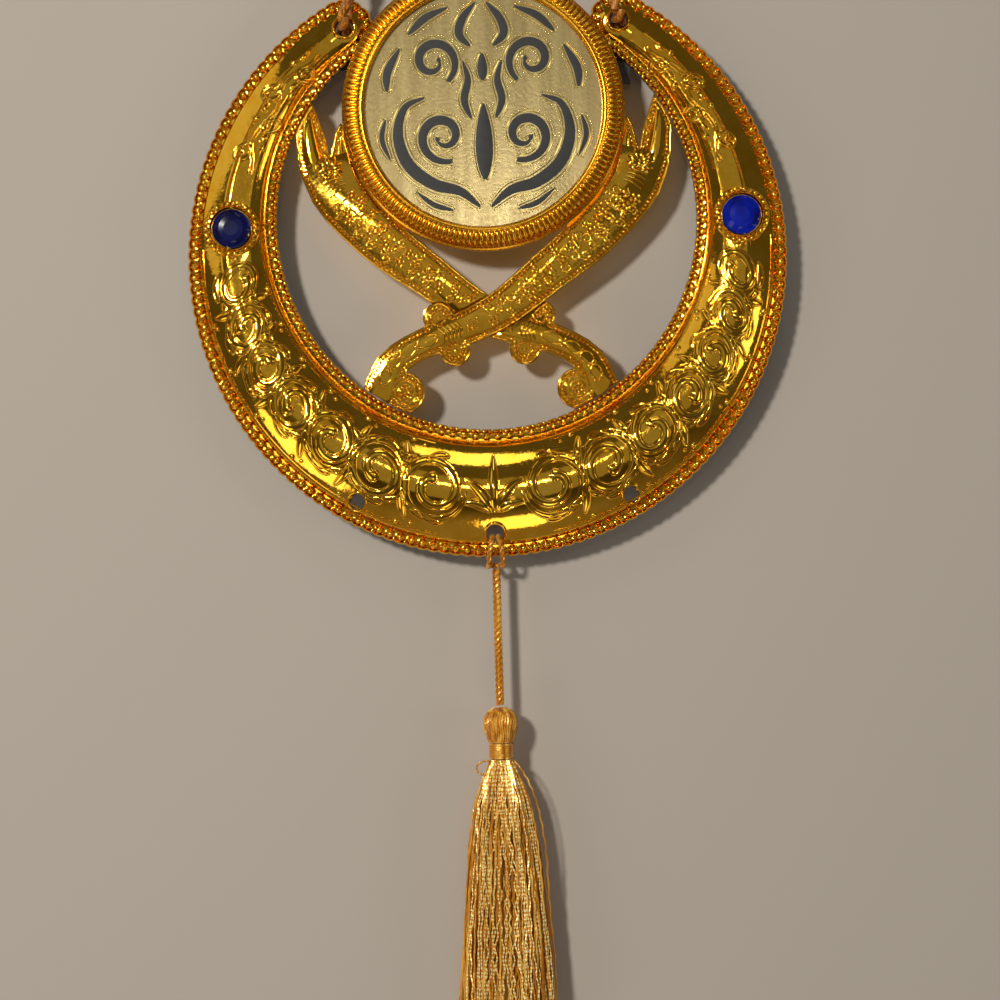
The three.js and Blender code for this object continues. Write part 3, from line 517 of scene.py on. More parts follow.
def skirt_spread(fall):
    """The skirt's half width at a share of its fall, and how flat it is there."""
    for (f0, w0), (f1, w1) in zip(SKIRT_PROFILE, SKIRT_PROFILE[1:]):
        if fall <= f1:
            break
    width = w0 + (w1 - w0) * (fall - f0) / (f1 - f0)
    return SKIRT_RADIUS * width, 1 + (SKIRT_FLATNESS - 1) * min(1, fall * 3)


draw = random.Random(7)
ends = []
for k in range(SKIRT_ENDS):
    depth = 0.55 + 0.45 * math.sqrt(draw.random())
    length = SKIRT_LENGTH * draw.uniform(0.965, 1.0)
    sway = draw.uniform(-0.22, 0.22)
    wave, phase, ripple = draw.uniform(0.5, 1.0), draw.uniform(0, 6.28), draw.uniform(0.1, 0.34)
    crimp_phase, crimp_step = draw.uniform(0, 6.28), draw.uniform(2.2, 3.4)
    run = []
    for i in range(END_STEPS + 1):
        fall = i / END_STEPS
        turn = k * GOLDEN_ANGLE + sway * fall + 0.03 * math.sin(phase + 7 * fall)
        wide, flat = skirt_spread(fall)
        wide *= depth
        wander = wave * min(1, fall * 4) * math.sin(phase + 5.5 * fall)
        crinkle = ripple * math.sin(crimp_phase + length * fall * 6.28 / crimp_step)
        x = (wide + wander) * math.cos(turn) + crinkle * math.sin(turn)
        y = (wide + wander * 0.6) * flat * math.sin(turn) + crinkle * math.cos(turn)
        thick = 1 - 0.25 * abs(math.sin(crimp_phase + 20 * fall))
        run.append((x, TASSEL_DEPTH + y, SKIRT_TOP - 0.2 - length * fall, thick))
    ends.append(run)
shape = tubes(ends, YARN_THICK, resolution=0)
for stray in STRAYS:
    line = smooth_line([Vector((x, TASSEL_DEPTH + y, SKIRT_TOP + z)) for x, y, z in stray], 8)
    run = []
    for i, p in enumerate(line):
        run.append((p.x + 0.16 * math.sin(i * 1.9), p.y, p.z + 0.1 * math.cos(i * 1.4), 1))
    join(shape, tubes([run], 0.55, resolution=1))
# Gimp threads with painted glints wander over the front and the back of the mass.
ends = []
for k in range(GIMP_ENDS):
    spread = draw.uniform(-1.25, 1.25)
    wave, phase, step = draw.uniform(0.3, 0.95), draw.uniform(0, 6.28), draw.uniform(15, 28)
    depth, length = draw.uniform(0.93, 1.02), SKIRT_LENGTH * draw.uniform(0.9, 1.0)
    run = []
    for i in range(GIMP_STEPS + 1):
        fall = i / GIMP_STEPS
        wide, flat = skirt_spread(fall)
        wide *= depth
        swing = math.sin(phase + length * fall / step * 3)
        wander = wave * min(1, fall * 5) * (swing + 0.4 * math.sin(phase * 2 + length * fall))
        turn = spread + wander / wide
        y = (-1 if k % 3 else 1) * wide * flat * math.cos(turn)
        thick = 1 - 0.3 * (i % 2)
        low = SKIRT_TOP - 0.2 - length * fall
        run.append((wide * math.sin(turn), TASSEL_DEPTH + y, low, thick))
    ends.append(run)
gimp_threads = tubes(ends, GIMP_THICK, resolution=0)
for face in gimp_threads.faces:
    face.material_index = 1
join(shape, gimp_threads)
core = bmesh.new()
bmesh.ops.create_cone(core, cap_ends=True, segments=48, radius1=1, radius2=1, depth=1)
upright = [e for e in core.edges if abs(e.verts[0].co.z - e.verts[1].co.z) > 0.5]
bmesh.ops.subdivide_edges(core, edges=upright, cuts=24)
for vert in core.verts:
    fall = 0.5 - vert.co.z
    wide, flat = skirt_spread(fall)
    wide *= CORE_SHARE
    low = SKIRT_TOP - 0.2 - SKIRT_LENGTH * CORE_FALL * fall
    vert.co = (vert.co.x * wide, TASSEL_DEPTH + vert.co.y * wide * flat, low)
join(shape, core)
skirt = make_piece("tassel_skirt_yarn", shape, [yarn, gimp], "tassel", sharp=80)
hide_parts("tassel_skirt")


# Crescent
# One moulding of ABS with a mirror-bright gold plate: a puffed band between rows of beads,
# with scrollwork raised on it, five eyelets and two round seats for the stones.
OUTER_RADIUS = 90
INNER_RADIUS, INNER_RISE = 63, 11.4
TIP_RADIUS = 8.7
FLANGE = 2
RIM_WIDTH = 3.6
BEAD_PITCH, BEAD_INSET, BEAD_RADIUS = 3.4, 2, 1.02
OUTER_TURN = math.atan2(HORN_TIP.y, HORN_TIP.x)
INNER_TURN = math.atan2(HORN_TIP.y - INNER_RISE, HORN_TIP.x)
DOME_BOTTOM, DOME_HORN = 7.5, 2.6
DOME_AROUND, DOME_STRIPS = 320, 36
DOME_FROM_TIP = 6.4
PANEL_EDGE = 0.36
TASSEL_HOLE = (2.6, 0, -82.8)
CORD_HOLES = [(2.8, s * HORN_TIP.x, HORN_TIP.y) for s in (-1, 1)]
CHARM_HOLES = [(2.35, s * 41, -72.2) for s in (-1, 1)]
HOLES = [TASSEL_HOLE, *CORD_HOLES, *CHARM_HOLES]
STONE_PLACES = [(-76.1, 10.2), (76.1, 10.2)]
STONE_SEAT_RADIUS, STONE_SEAT_FRONT = 6.1, -7
# The seat's profile: radius, and depth behind the seat's front.
SEAT_PROFILE = [
    (6.1, 6), (6.1, -0.1), (6.35, -0.35), (6.65, -0.1), (6.8, 0.5), (8.1, 0.6), (8.4, 1), (8.4, 6),
]
# The flange's rings run from its back edge, round its scalloped lip and in to the band:
# inset, scallop and depth.
FLANGE_RINGS = [
    (0.4, 0.5, 0), (0, 0.9, -0.4), (-0.05, 0.9, -1.2), (0.1, 0.9, -1.8), (0.45, 0.9, -2.1),
    (0.8, 0.8, -1.8), (1.1, 0.4, -1.4), (3.1, 0, -1.5), (3.5, 0, -2),
]
SCROLL_START, SCROLL_SIZE, SCROLL_TAPER, SCROLL_COUNT = 9, 9.6, 0.034, 6
TURN_LENGTH = 77 * (math.pi / 2 + OUTER_TURN)
VINE_FROM, VINE_PITCH, VINE_MIDDLE = 151, 10, 0.62

# Gold electroplate on ABS: thin bright plating over a moulded skin, so it mirrors the room
# with a faint orange-peel waviness. Its pits are drawn coarser than real.
gold_plate = new_material(
    "gold electroplate on ABS",
    [(170, 3, 0.6), (1300, 2, 0.5)],
    [(0.35, "#eeae2c"), (0.68, "#f6c242")],
    {"Metallic": 1},
    rough=(1, 0.35, 0.75, 0.05, 0.13),
    bumps=[(0, 0.16, 0.0004), (1, 0.06, 0.0001)],
)


def arcs(inset):
    """The crescent's four edge arcs: centre, radius, first and last angle."""
    tip = TIP_RADIUS - inset
    left = Vector((-HORN_TIP.x, HORN_TIP.y))
    return [
        (Vector((0, 0)), OUTER_RADIUS - inset, math.pi - OUTER_TURN, 2 * math.pi + OUTER_TURN),
        (HORN_TIP, tip, OUTER_TURN, math.pi + INNER_TURN),
        (Vector((0, INNER_RISE)), INNER_RADIUS + inset, INNER_TURN, -math.pi - INNER_TURN),
        (left, tip, -INNER_TURN, math.pi - OUTER_TURN),
    ]


ARC_BEADS = [round(r * abs(last - first) / BEAD_PITCH) for _, r, first, last in arcs(BEAD_INSET)]
BEAD_TOTAL = sum(ARC_BEADS)


def edge_point(share, inset, scallop=0.0):
    """A point on the edge at a share of the way round, drawn in a little between two beads."""
    at = share * BEAD_TOTAL % BEAD_TOTAL
    for arc, count in enumerate(ARC_BEADS):
        if at < count:
            break
        at -= count
    off_bead = (at + 0.5) % 1 - 0.5
    drawn_in = inset + scallop * (1 - math.sqrt(max(0, 1 - 3.4 * off_bead**2)))
    centre, radius, first, last = arcs(drawn_in)[arc]
    angle = first + (last - first) * at / count
    return centre + radius * Vector((math.cos(angle), math.sin(angle)))


def ease(t):
    """Goes smoothly from 0 to 1."""
    t = min(1, max(0, t))
    return t * t * (3 - 2 * t)


def face_depth(x, z):
    """The depth of the crescent's face. Towards the horns its inner side is a panel."""
    turn = abs(math.atan2(x, -z)) / (math.pi / 2 + OUTER_TURN)
    from_outer = OUTER_RADIUS - RIM_WIDTH - math.hypot(x, z)
    from_inner = math.hypot(x, z - INNER_RISE) - INNER_RADIUS - RIM_WIDTH
    across = from_outer / max(1e-6, from_outer + from_inner)
    if not 0 < across < 1 or math.hypot(x, z) > OUTER_RADIUS:
        return -FLANGE
    height = DOME_BOTTOM + (DOME_HORN - DOME_BOTTOM) * ease(turn)
    height *= 0.3 + 0.7 * ease((1 - turn) / 0.12)
    puffed = math.sin(math.pi * across) ** 0.75
    slope = 0.6 * min(1, across / PANEL_EDGE) ** 0.8 + 0.38 * ease((across - PANEL_EDGE) / 0.05)
    panel = slope * min(1, (1 - across) / 0.22) ** 0.6
    return -FLANGE - height * (puffed + (panel - puffed) * ease((turn - 0.55) / 0.1))


def band_point(turn, across):
    """A point of the band by its share round, negative on the left, and its share inwards."""
    angle = -math.pi / 2 + turn * (math.pi / 2 + OUTER_TURN)
    inner = -math.pi / 2 + turn * (math.pi / 2 + INNER_TURN)
    outer_at = (OUTER_RADIUS - RIM_WIDTH) * Vector((math.cos(angle), math.sin(angle)))
    inner_at = (INNER_RADIUS + RIM_WIDTH) * Vector((math.cos(inner), math.sin(inner)))
    return outer_at.lerp(inner_at + Vector((0, INNER_RISE)), across)


def mapped_grid(around, across, where):
    """A grid whose points are laid where a function of their two shares says."""
    shape = bmesh.new()
    bmesh.ops.create_grid(shape, x_segments=around, y_segments=across, size=1)
    for vert in shape.verts:
        vert.co = where((vert.co.x + 1) / 2, (vert.co.y + 1) / 2)
    bmesh.ops.remove_doubles(shape, verts=shape.verts, dist=0.0005)
    return shape


def flange_point(share, ring):
    """A point of the flange's rings."""
    inset, scallop, depth = FLANGE_RINGS[round(ring * (len(FLANGE_RINGS) - 1))]
    at = edge_point(share, inset, scallop)
    return (at.x, depth, at.y)


def dome_point(share, ring):
    """The band's face from its outer to its inner side, and back again behind it."""
    strip = round(ring * (DOME_STRIPS + 3))
    across = strip / DOME_STRIPS if strip <= DOME_STRIPS else DOME_STRIPS + 2 - strip
    end = 1 - DOME_FROM_TIP / (OUTER_RADIUS - TIP_RADIUS) / (math.pi / 2 + OUTER_TURN)
    at = band_point((2 * share - 1) * end, min(1, max(0, across)))
    depth = -FLANGE
    if 0 < strip < DOME_STRIPS:
        depth = face_depth(at.x, at.y)
    elif DOME_STRIPS < strip < DOME_STRIPS + 3:
        depth = -0.6
    return (at.x, depth, at.y)


def add_disc(shape, x, z, back, front, radius, front_radius=None, segments=40):
    """Adds a closed disc or cone between two depths, with its face to the viewer."""
    turn = Matrix.Translation((x, (back + front) / 2, z)) @ Matrix.Rotation(math.pi / 2, 4, "X")
    bmesh.ops.create_cone(
        shape, cap_ends=True, segments=segments, radius1=radius,
        radius2=front_radius or radius, depth=back - front, matrix=turn,
    )


def with_holes(shape, holes):
    """Drills round holes of radius, x and z through a closed bmesh."""
    drills = bmesh.new()
    for radius, x, z in holes:
        add_disc(drills, x, z, 1, -12, radius)
    things = []
    for name, made in (("solid", shape), ("drill", drills)):
        mesh = bpy.data.meshes.new(name)
        made.to_mesh(mesh)
        made.free()
        things.append(bpy.data.objects.new(name, mesh))
        bpy.context.scene.collection.objects.link(things[-1])
    cut = things[0].modifiers.new("cut", "BOOLEAN")
    cut.operation, cut.object, cut.solver = "DIFFERENCE", things[1], "EXACT"
    result = bmesh.new()
    result.from_mesh(things[0].evaluated_get(bpy.context.evaluated_depsgraph_get()).to_mesh())
    for thing in things:
        bpy.data.objects.remove(thing)
    return result


def circle(x, z, radius, count, depth=0):
    """Points round a circle that faces the viewer."""
    turns = [2 * math.pi * i / count for i in range(count)]
    return [(x + radius * math.cos(t), depth, z + radius * math.sin(t)) for t in turns]


def even_runs(lines):
    """Lines of points as runs of full thickness."""
    return [[(*p, 1) for p in line] for line in lines]


def add_beads(shape, places, radius, squash=1.0, fine=True):
    """Adds copies of one round bead at places of x, depth and height."""
    bead = bmesh.new()
    if fine:
        bmesh.ops.create_icosphere(bead, subdivisions=2, radius=radius)
    else:
        bmesh.ops.create_uvsphere(bead, u_segments=8, v_segments=5, radius=radius)
    bmesh.ops.scale(bead, verts=bead.verts, vec=(1, squash, 1))
    mesh = bpy.data.meshes.new("bead")
    bead.to_mesh(mesh)
    bead.free()
    for x, y, z in places:
        mesh.transform(Matrix.Translation((x, y, z)))
        shape.from_mesh(mesh)
        mesh.transform(Matrix.Translation((-x, -y, -z)))
    bpy.data.meshes.remove(mesh)


def leaf(along, across, angle, length, bend, wide):
    """A pointed leaf in flat millimetres, as a run whose last number is its width."""
    run = []
    for i in range(11):
        t = i / 10
        lean = math.radians(angle) + bend * t
        wideness = wide * math.sin(math.pi * (0.06 + 0.88 * t**0.8)) ** 0.8
        to = (along + length * t * math.cos(lean), across + length * t * math.sin(lean))
        run.append((*to, wideness))
    return run


def volute(along, across, radius, first, turns, way, wide, tighten=0.58):
    """A volute that winds in from its rim and ends in a round knob."""
    run = []
    count = round(30 * turns)
    for i in range(count + 1):
        wound = turns * i / count
        reach = radius * max(0.12, 1 - tighten * max(0, wound - 0.5))
        angle = math.radians(first) - way * 2 * math.pi * wound
        swell = 1 + 0.5 * ease((wound - turns + 0.12) / 0.12)
        width = wide * (0.45 + 0.55 * ease(wound / 0.4)) * swell
        run.append((along + reach * math.cos(angle), across + reach * math.sin(angle), width))
    (before, end), width = (Vector(p[:2]) for p in run[-2:]), run[-1][2]
    ahead = (end - before).normalized()
    for t in (0.45, 0.75, 0.93, 1):
        tip = end + ahead * wide * 1.1 * t
        run.append((tip.x, tip.y, width * math.sqrt(max(0.003, 1 - t * t))))
    return run


def on_band(runs, side, middle):
    """Lays flat runs, in millimetres along and across, on one side of the band."""
    laid = []
    for run in runs:
        line = []
        for along, across, width in run:
            turn = along / TURN_LENGTH
            wide = (band_point(turn, 0) - band_point(turn, 1)).length
            at = band_point(side * turn, middle - across / wide)
            line.append((at.x, 0, at.y, width))
        laid.append(line)
    return laid


def outline_of(run, share, margin=0.0):
    """The closed line round a stroke, off its middle by a share of its width and a margin."""
    near, far = [], []
    for i, (x, y, z, width) in enumerate(run):
        before, after = run[max(0, i - 1)], run[min(len(run) - 1, i + 1)]
        ahead = Vector((after[0] - before[0], after[2] - before[2])).normalized()
        reach = share * width + margin
        near.append((x - ahead.y * reach, y, z + ahead.x * reach, 1))
        far.append((x + ahead.y * reach, y, z - ahead.x * reach, 1))
    return near + far[::-1]


def drape(shape, flatness, sink=0.0):
    """Presses flat relief onto the crescent's face and adds it there."""
    for vert in shape.verts:
        vert.co.y = vert.co.y * flatness + face_depth(vert.co.x, vert.co.z) + sink
    join(crescent, shape)


def drape_outlines(runs, share, thick, resolution, flatness):
    """Adds the lines round some strokes to the crescent's face."""
    lines = [outline_of(run, share) for run in runs]
    drape(tubes(lines, thick, resolution, cyclic=True), flatness)


flange = mapped_grid(BEAD_TOTAL * 8, len(FLANGE_RINGS) - 1, flange_point)
for depth in (0, -FLANGE):
    open_edges = [e for e in flange.edges if e.is_boundary]
    rim = [e for e in open_edges if all(abs(v.co.y - depth) < 0.01 for v in e.verts)]
    bmesh.ops.triangle_fill(flange, edges=rim, use_beauty=True)
bmesh.ops.recalc_face_normals(flange, faces=flange.faces)
dome = mapped_grid(DOME_AROUND, DOME_STRIPS + 3, dome_point)
bmesh.ops.holes_fill(dome, edges=[e for e in dome.edges if e.is_boundary], sides=0)
bmesh.ops.recalc_face_normals(dome, faces=dome.faces)
crescent = with_holes(flange, HOLES)
join(crescent, with_holes(dome, HOLES + [(STONE_SEAT_RADIUS, x, z) for x, z in STONE_PLACES]))

rim_beads = [edge_point(i / BEAD_TOTAL, BEAD_INSET) for i in range(BEAD_TOTAL)]
add_beads(crescent, [(p.x, -2.1, p.y) for p in rim_beads], BEAD_RADIUS)
# Each bead of the outer row sits in its own ring, and finer beads crowd the inner edge.
cups = [circle(p.x, p.y, 1.6, 14, -1.5) for p in rim_beads[: ARC_BEADS[0] + 1]]
join(crescent, tubes(even_runs(cups), 0.38, 1, cyclic=True))
inner = ARC_BEADS[0] + ARC_BEADS[1]
fine = [edge_point((inner + (i + 0.5) / 2) / BEAD_TOTAL, 0.55) for i in range(2 * ARC_BEADS[2])]
add_beads(crescent, [(p.x, -1.9, p.y) for p in fine], 0.68, fine=False)
ledge = [edge_point((inner + i / 3) / BEAD_TOTAL, 3.5) for i in range(3 * ARC_BEADS[2])]
join(crescent, tubes([[(p.x, -2, p.y, 1) for p in ledge]], 0.6, 1))
for radius, x, z in HOLES:
    ring = [(ex, face_depth(ex, ez) - 0.2, ez) for ex, _, ez in circle(x, z, radius + 0.45, 48)]
    join(crescent, tubes(even_runs([ring]), 0.95, cyclic=True))

# Stone seats: a plain cup with a ring of fine beads round its mouth.
for x, z in STONE_PLACES:
    profile = [(x + r, STONE_SEAT_FRONT + y, z) for r, y in SEAT_PROFILE]
    seat = spun(profile, (x, 0, z), (0, 1, 0), 64, closed=True)
    bmesh.ops.recalc_face_normals(seat, faces=seat.faces)
    add_disc(seat, x, z, -4.75, -5.25, STONE_SEAT_RADIUS + 0.1)
    add_beads(seat, circle(x, z, 7.5, 26, STONE_SEAT_FRONT + 0.15), 0.8)
    join(crescent, seat)

main, small, dots = [], [], []
start = SCROLL_START
for k in range(SCROLL_COUNT):
    size = SCROLL_SIZE - SCROLL_TAPER * start
    over = 1 if k % 2 == 0 else -1
    main.append(volute(start + size, 0, size, 180, 1.72, over, 1.0))
    # Small leaves spring from the volute's back and fill the corners between two of them.
    for way in (-1, 1):
        end, corner = start + 2 * size, way * size * 0.62
        small.append(leaf(end - size - 3.6, way * (size + 0.5), 18 * way, 7.4, -0.62 * way, 0.85))
        small.append(leaf(end, way * 2.6, 90 * way, size * 0.95, 0.25 * over, 1.1))
        small.append(leaf(end - 0.9, corner, 90 * way + 40, size * 0.5, 0.5, 0.7))
        small.append(leaf(end + 0.9, corner, 90 * way - 40, size * 0.5, -0.5, 0.7))
        dots.append((end, way * (size + 3.3), 0.95))
        dots.append((end - size + 5.2, way * (size + 2.5), 0.7))
    start += 2 * size
main.append(volute(start + 6.2, -1, 5.6, 180, 1.3, -1, 0.9))
small.append(leaf(start + 5, 6.5, 8, 7, -0.3, 0.8))
small.append(leaf(start + 13.5, -2, 60, 5.5, -0.6, 0.8))

vine, buds = [], []
for k in range(4):
    along = VINE_FROM + VINE_PITCH * k
    way = 1 if k % 2 == 0 else -1
    vine.append(volute(along, way * 2.6, 2.7, 180 if way > 0 else 0, 1.35, way, 0.8, 0.55))
    vine.append(leaf(along + 3.6, -way * 1.2, -way * 50, 3.4, way * 0.7, 0.9))
    buds.append((along + 1.2, -way * 2.9, 1.15))
stem = []
for i in range(76):
    along = 144 + 0.6 * i
    stem.append((along, 1.25 * math.sin((along - VINE_FROM) * math.pi / VINE_PITCH), 1))

# Ridges frame the scrolls and the horns' panels: share inwards, first and last share round.
RIDGES = [
    (PANEL_EDGE + 0.045, 0.7, 0.955), (0.84, 0.7, 0.95), (0.93, 0.1, 0.63), (0.06, 0.08, 0.62),
]
for side in (-1, 1):
    for runs, thick in ((main, 2.2), (small, 1.9)):
        runs = on_band(runs, side, 0.5)
        drape(tubes(runs, thick), 0.3, 0.1)
        drape_outlines(runs, thick / 2 + 0.1, 0.72, 2, 1.0)
    runs = on_band(vine, side, VINE_MIDDLE)
    drape(tubes(runs, 1.5), 0.8)
    drape_outlines(runs, 0.95, 0.42, 1, 1.0)
    drape_outlines(on_band([stem], side, VINE_MIDDLE), 0.5, 0.6, 1, 1.1)
    for places, middle in ((dots, 0.5), (buds, VINE_MIDDLE)):
        for x, _, z, radius in on_band([places], side, middle)[0]:
            add_beads(crescent, [(x, face_depth(x, z) - 0.1, z)], radius, 0.75)
    for across, first, last in RIDGES:
        ridge = [band_point(side * (first + (last - first) * i / 89), across) for i in range(90)]
        drape(tubes([[(p.x, 0, p.y, 1) for p in ridge]], 0.62), 0.8)
# A bud with two leaves on each side stands over the tassel's hole: lean, height and foot.
BUD = [(0, 17, 0), (0.55, 13, 0.8), (-0.55, 13, -0.8), (1.05, 8.5, 1.4), (-1.05, 8.5, -1.4)]
bud = []
for lean, tall, foot_x in BUD:
    petal = []
    for i in range(16):
        t = i / 15
        bend = lean * (0.5 + 0.7 * t)
        x, z = foot_x + tall * t * math.sin(bend), -76.5 + tall * t * math.cos(bend)
        petal.append((x, 0, z, 0.3 + 1.5 * math.sin(math.pi * t**0.8)))
    bud.append(petal)
drape(tubes(bud, 1.5), 0.5)
drape_outlines(bud, 0.95, 0.55, 1, 1.0)

crescent_shell = make_piece("crescent_moulding", crescent, [gold_plate], "pendant", sharp=65)
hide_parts("crescent_front")


# Back cover, rear bridge and medallion back
# Flat black ABS mouldings close the backs. Their satin skin is finely spark-eroded in the
# mould, drawn coarser than real, so it has a soft broken shine.
black_abs = new_material(
    "textured black ABS",
    [(60, 2, 0.5), (1800, 3, 0.5)],
    [(0, "#141316"), (1, "#262428")],
    {"Roughness": 0.48},
    bumps=[(1, 0.35, 0.0001)],
)
for node in ("crescent_back", "rear_bridge", "medallion_back"):
    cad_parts[node].data.materials.clear()
    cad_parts[node].data.materials.append(black_abs)


# Stones
# Flat-backed acrylic stones of 12 mm with a foil behind them, pressed into the seats: a wide
# table over a ring of small facets.
STONE_RADIUS, TABLE_RADIUS, STONE_SIDES = 5.8, 3.7, 18
STONE_BACK = STONE_SEAT_FRONT + 1.3
GIRDLE_FRONT, CROWN_FRONT = STONE_BACK - 0.9, STONE_BACK - 2.7
# The left stone's colours are darker than the right one's: painted shade.
STONES = [
    ("stone_left", "blue foiled acrylic in painted shade", "#03062e", "#0b104c"),
    ("stone_right", "blue foiled acrylic", "#020a60", "#081c98"),
]
for (x, z), (node, name, deep, lit) in zip(STONE_PLACES, STONES):
    # Coloured acrylic over a foil: clouded inside, under a softly worn face.
    polish = {"Roughness": 0.18, "Specular IOR Level": 0.2}
    polish |= {"Coat Weight": 0.15, "Coat Roughness": 0.05}
    acrylic = new_material(name, [(180, 1, 0.5)], [(0.3, deep), (0.7, lit)], polish)
    shape = bmesh.new()
    add_disc(shape, x, z, STONE_BACK, GIRDLE_FRONT, STONE_RADIUS, segments=STONE_SIDES)
    add_disc(shape, x, z, GIRDLE_FRONT, CROWN_FRONT, STONE_RADIUS, TABLE_RADIUS, STONE_SIDES)
    bmesh.ops.remove_doubles(shape, verts=shape.verts, dist=0.001)
    table = min(shape.faces, key=lambda f: f.calc_center_median().y)
    bmesh.ops.inset_region(shape, faces=[table], thickness=1.5, depth=0.25)
    name = node.replace("stone", "faceted_stone")
    stone = make_piece(name, shape, [acrylic], "pendant", sharp=5)
    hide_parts(node)


# Swords
# Two thin gold-plated mouldings halved together where they cross. A plain lip and a row of
# fine beads follow their outline, and leaves, curls and blossoms crowd the raised middle.
SWORD_LINE = [
    (-36.2, -46.8, 5.6), (-33, -39.5, 5.2), (-30, -32, 4.7), (-23.5, -27, 4.4),
    (-12.8, -22.8, 4.8), (-4.2, -19.8, 5.4), (5.5, -14.6, 5.8), (17.5, -5.2, 6.4),
    (28.8, 3.4, 7.2), (38.2, 12.8, 7.8), (44.6, 21.5, 8.3), (47.4, 30.5, 8.7),
]
GUARD_LOBES, LOBE_RADIUS = [(-10.4, -27.9), (-15.3, -17.8)], 4.6
POMMEL, POMMEL_RADIUS = (-25.9, -40), 6.1
# Smooth pads swell in both points of the blade.
PADS = [
    [(49.6, 23, 4.6), (51, 28.5, 5.6), (52.2, 34.5, 5.2), (52.7, 40.5, 3.6), (52.2, 46, 0.5)],
    [(44.4, 26, 2.6), (43.6, 30, 2.6), (43.4, 34.5, 1.7), (43.2, 38.6, 0.3)],
]
SWORD_PLATE, SWORD_FIELD = -3, -4.4
SWORD_LIP, SWORD_BEADS, SWORD_INNER_LINE = 0.45, 1.45, 2.05
PEARL_DEPTH, PEARL_RADIUS, PEARL_PITCH = SWORD_PLATE - 0.28, 0.52, 1.3
FOLIAGE_FROM, FOLIAGE_PITCH, FOLIAGE_ROWS = 0.5, 0.0215, 18
LEAF_STEPS = (0, 0.12, 0.25, 0.4, 0.55, 0.7, 0.83, 0.93, 1)
BAR_PITCH = 0.0125
OVAL_PITCH = 0.058
MEDALLION_RISE, MEDALLION_RADIUS = 43.8, 42.3

middle_line = smooth_line([Vector(p) for p in SWORD_LINE], 12)


def ribbon_point(along, across):
    """A place on the sword, by its share along the middle line and millimetres to the left."""
    at = min(len(middle_line) - 2, max(0, int(along * (len(middle_line) - 1))))
    share = along * (len(middle_line) - 1) - at
    point = middle_line[at].lerp(middle_line[at + 1], share)
    ahead = (middle_line[at + 1] - middle_line[at]).xy.normalized()
    return Vector((point.x - ahead.y * across, point.y + ahead.x * across)), point.z


def near_sword(x, z, grow):
    """Whether a point lies on the front sword's ribbon or lobes, grown a little."""
    on_ribbon = any(math.hypot(x - p.x, z - p.y) < p.z + grow for p in middle_line)
    return on_ribbon or any(
        math.hypot(x - a, z - b) < LOBE_RADIUS + grow for a, b in GUARD_LOBES
    )


def shows(side, x, z):
    """Whether a sword shows there, clear of the crescent, the medallion and the other one."""
    if math.hypot(x, z - MEDALLION_RISE) < MEDALLION_RADIUS + 0.6:
        return False
    inside = math.hypot(x, z - INNER_RISE) < INNER_RADIUS - 0.5
    return inside and (side == 1 or not near_sword(x, z, 0.7))


def cad_copy(node):
    """A CAD node's mesh in millimetres, with its doubled corners joined."""
    shape = bmesh.new()
    shape.from_mesh(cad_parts[node].data)
    bmesh.ops.remove_doubles(shape, verts=shape.verts, dist=1e-6)
    to_millimetres = Matrix.Scale(1000, 4) @ Matrix.Translation(-place(0, 0, 0))
    bmesh.ops.transform(shape, matrix=to_millimetres, verts=shape.verts)
    shape.normal_update()
    return shape


def plate_outlines(shape):
    """The edges of a sword's plate as smooth lines with the plate on their left."""
    after = {}
    for edge in shape.edges:
        if len(edge.link_faces) != 2:
            continue
        if any(abs(v.co.y - SWORD_PLATE) > 0.02 for v in edge.verts):
            continue
        front, side_wall = sorted(edge.link_faces, key=lambda f: f.normal.y)
        if front.normal.y > -0.9 or abs(side_wall.normal.y) > 0.1:
            continue
        if side_wall.calc_center_median().y > SWORD_PLATE + 0.05:
            start, end = edge.verts
            ahead = end.co - start.co
            if ahead.x * side_wall.normal.z > ahead.z * side_wall.normal.x:
                start, end = end, start
            after[start] = end
    lines = []
    while after:
        reached = set(after.values())
        at = next((v for v in after if v not in reached), next(iter(after)))
        line = [at.co.copy()]
        while at in after:
            at = after.pop(at)
            line.append(at.co.copy())
        line = even_steps(line, 0.4)
        for _ in range(4):
            inner = [(a + b * 2 + c) / 4 for a, b, c in zip(line, line[1:], line[2:])]
            line = [line[0], *inner, line[-1]]
        lines.append(line)
    return [line for line in lines if len(line) > 4]


def inset_runs(outlines, inset, side):
    """Runs of points that follow a sword's outlines at a distance inside, where it shows."""
    corners = [p for line in outlines for p in line]
    tree = KDTree(len(corners))
    for i, p in enumerate(corners):
        tree.insert(p, i)
    tree.balance()
    runs = []
    for line in outlines:
        run = []
        for before, p, after in zip(line, line[1:], line[2:]):
            ahead = (after - before).normalized()
            inside = p + Vector((-ahead.z, 0, ahead.x)) * inset
            if shows(side, inside.x, inside.z) and tree.find(inside)[2] > inset * 0.94:
                run.append(inside)
            else:
                runs.append(run)
                run = []
        runs.append(run)
    return [run for run in runs if len(run) > 4]


def pressed(runs, thick, resolution, level, flatness):
    """Flat relief of x, z and width, as tubes that are flattened and laid on a level."""
    shape = tubes([[(x, 0, z, w) for x, z, w in run] for run in runs], thick, resolution)
    for vert in shape.verts:
        vert.co.y = level + vert.co.y * flatness
    return shape


def curl(x, z, radius, first, way):
    """A small curl of relief in x, z and width."""
    run = []
    for i in range(23):
        t = i / 22
        angle = first + way * 7.6 * t
        reach = radius * (1 - 0.78 * t)
        width = 0.5 + 0.6 * math.sin(math.pi * min(1, t + 0.1))
        run.append((x + reach * math.cos(angle), z + reach * math.sin(angle), width))
    return run


def petal_of(x, z, bend, length, swell, steps):
    """A petal of relief that points one way from its foot, in x, z and width."""
    run = []
    for t, wave in steps:
        reach = length * t
        run.append((x + reach * math.cos(bend), z + reach * math.sin(bend), 0.3 + swell * wave))
    return run


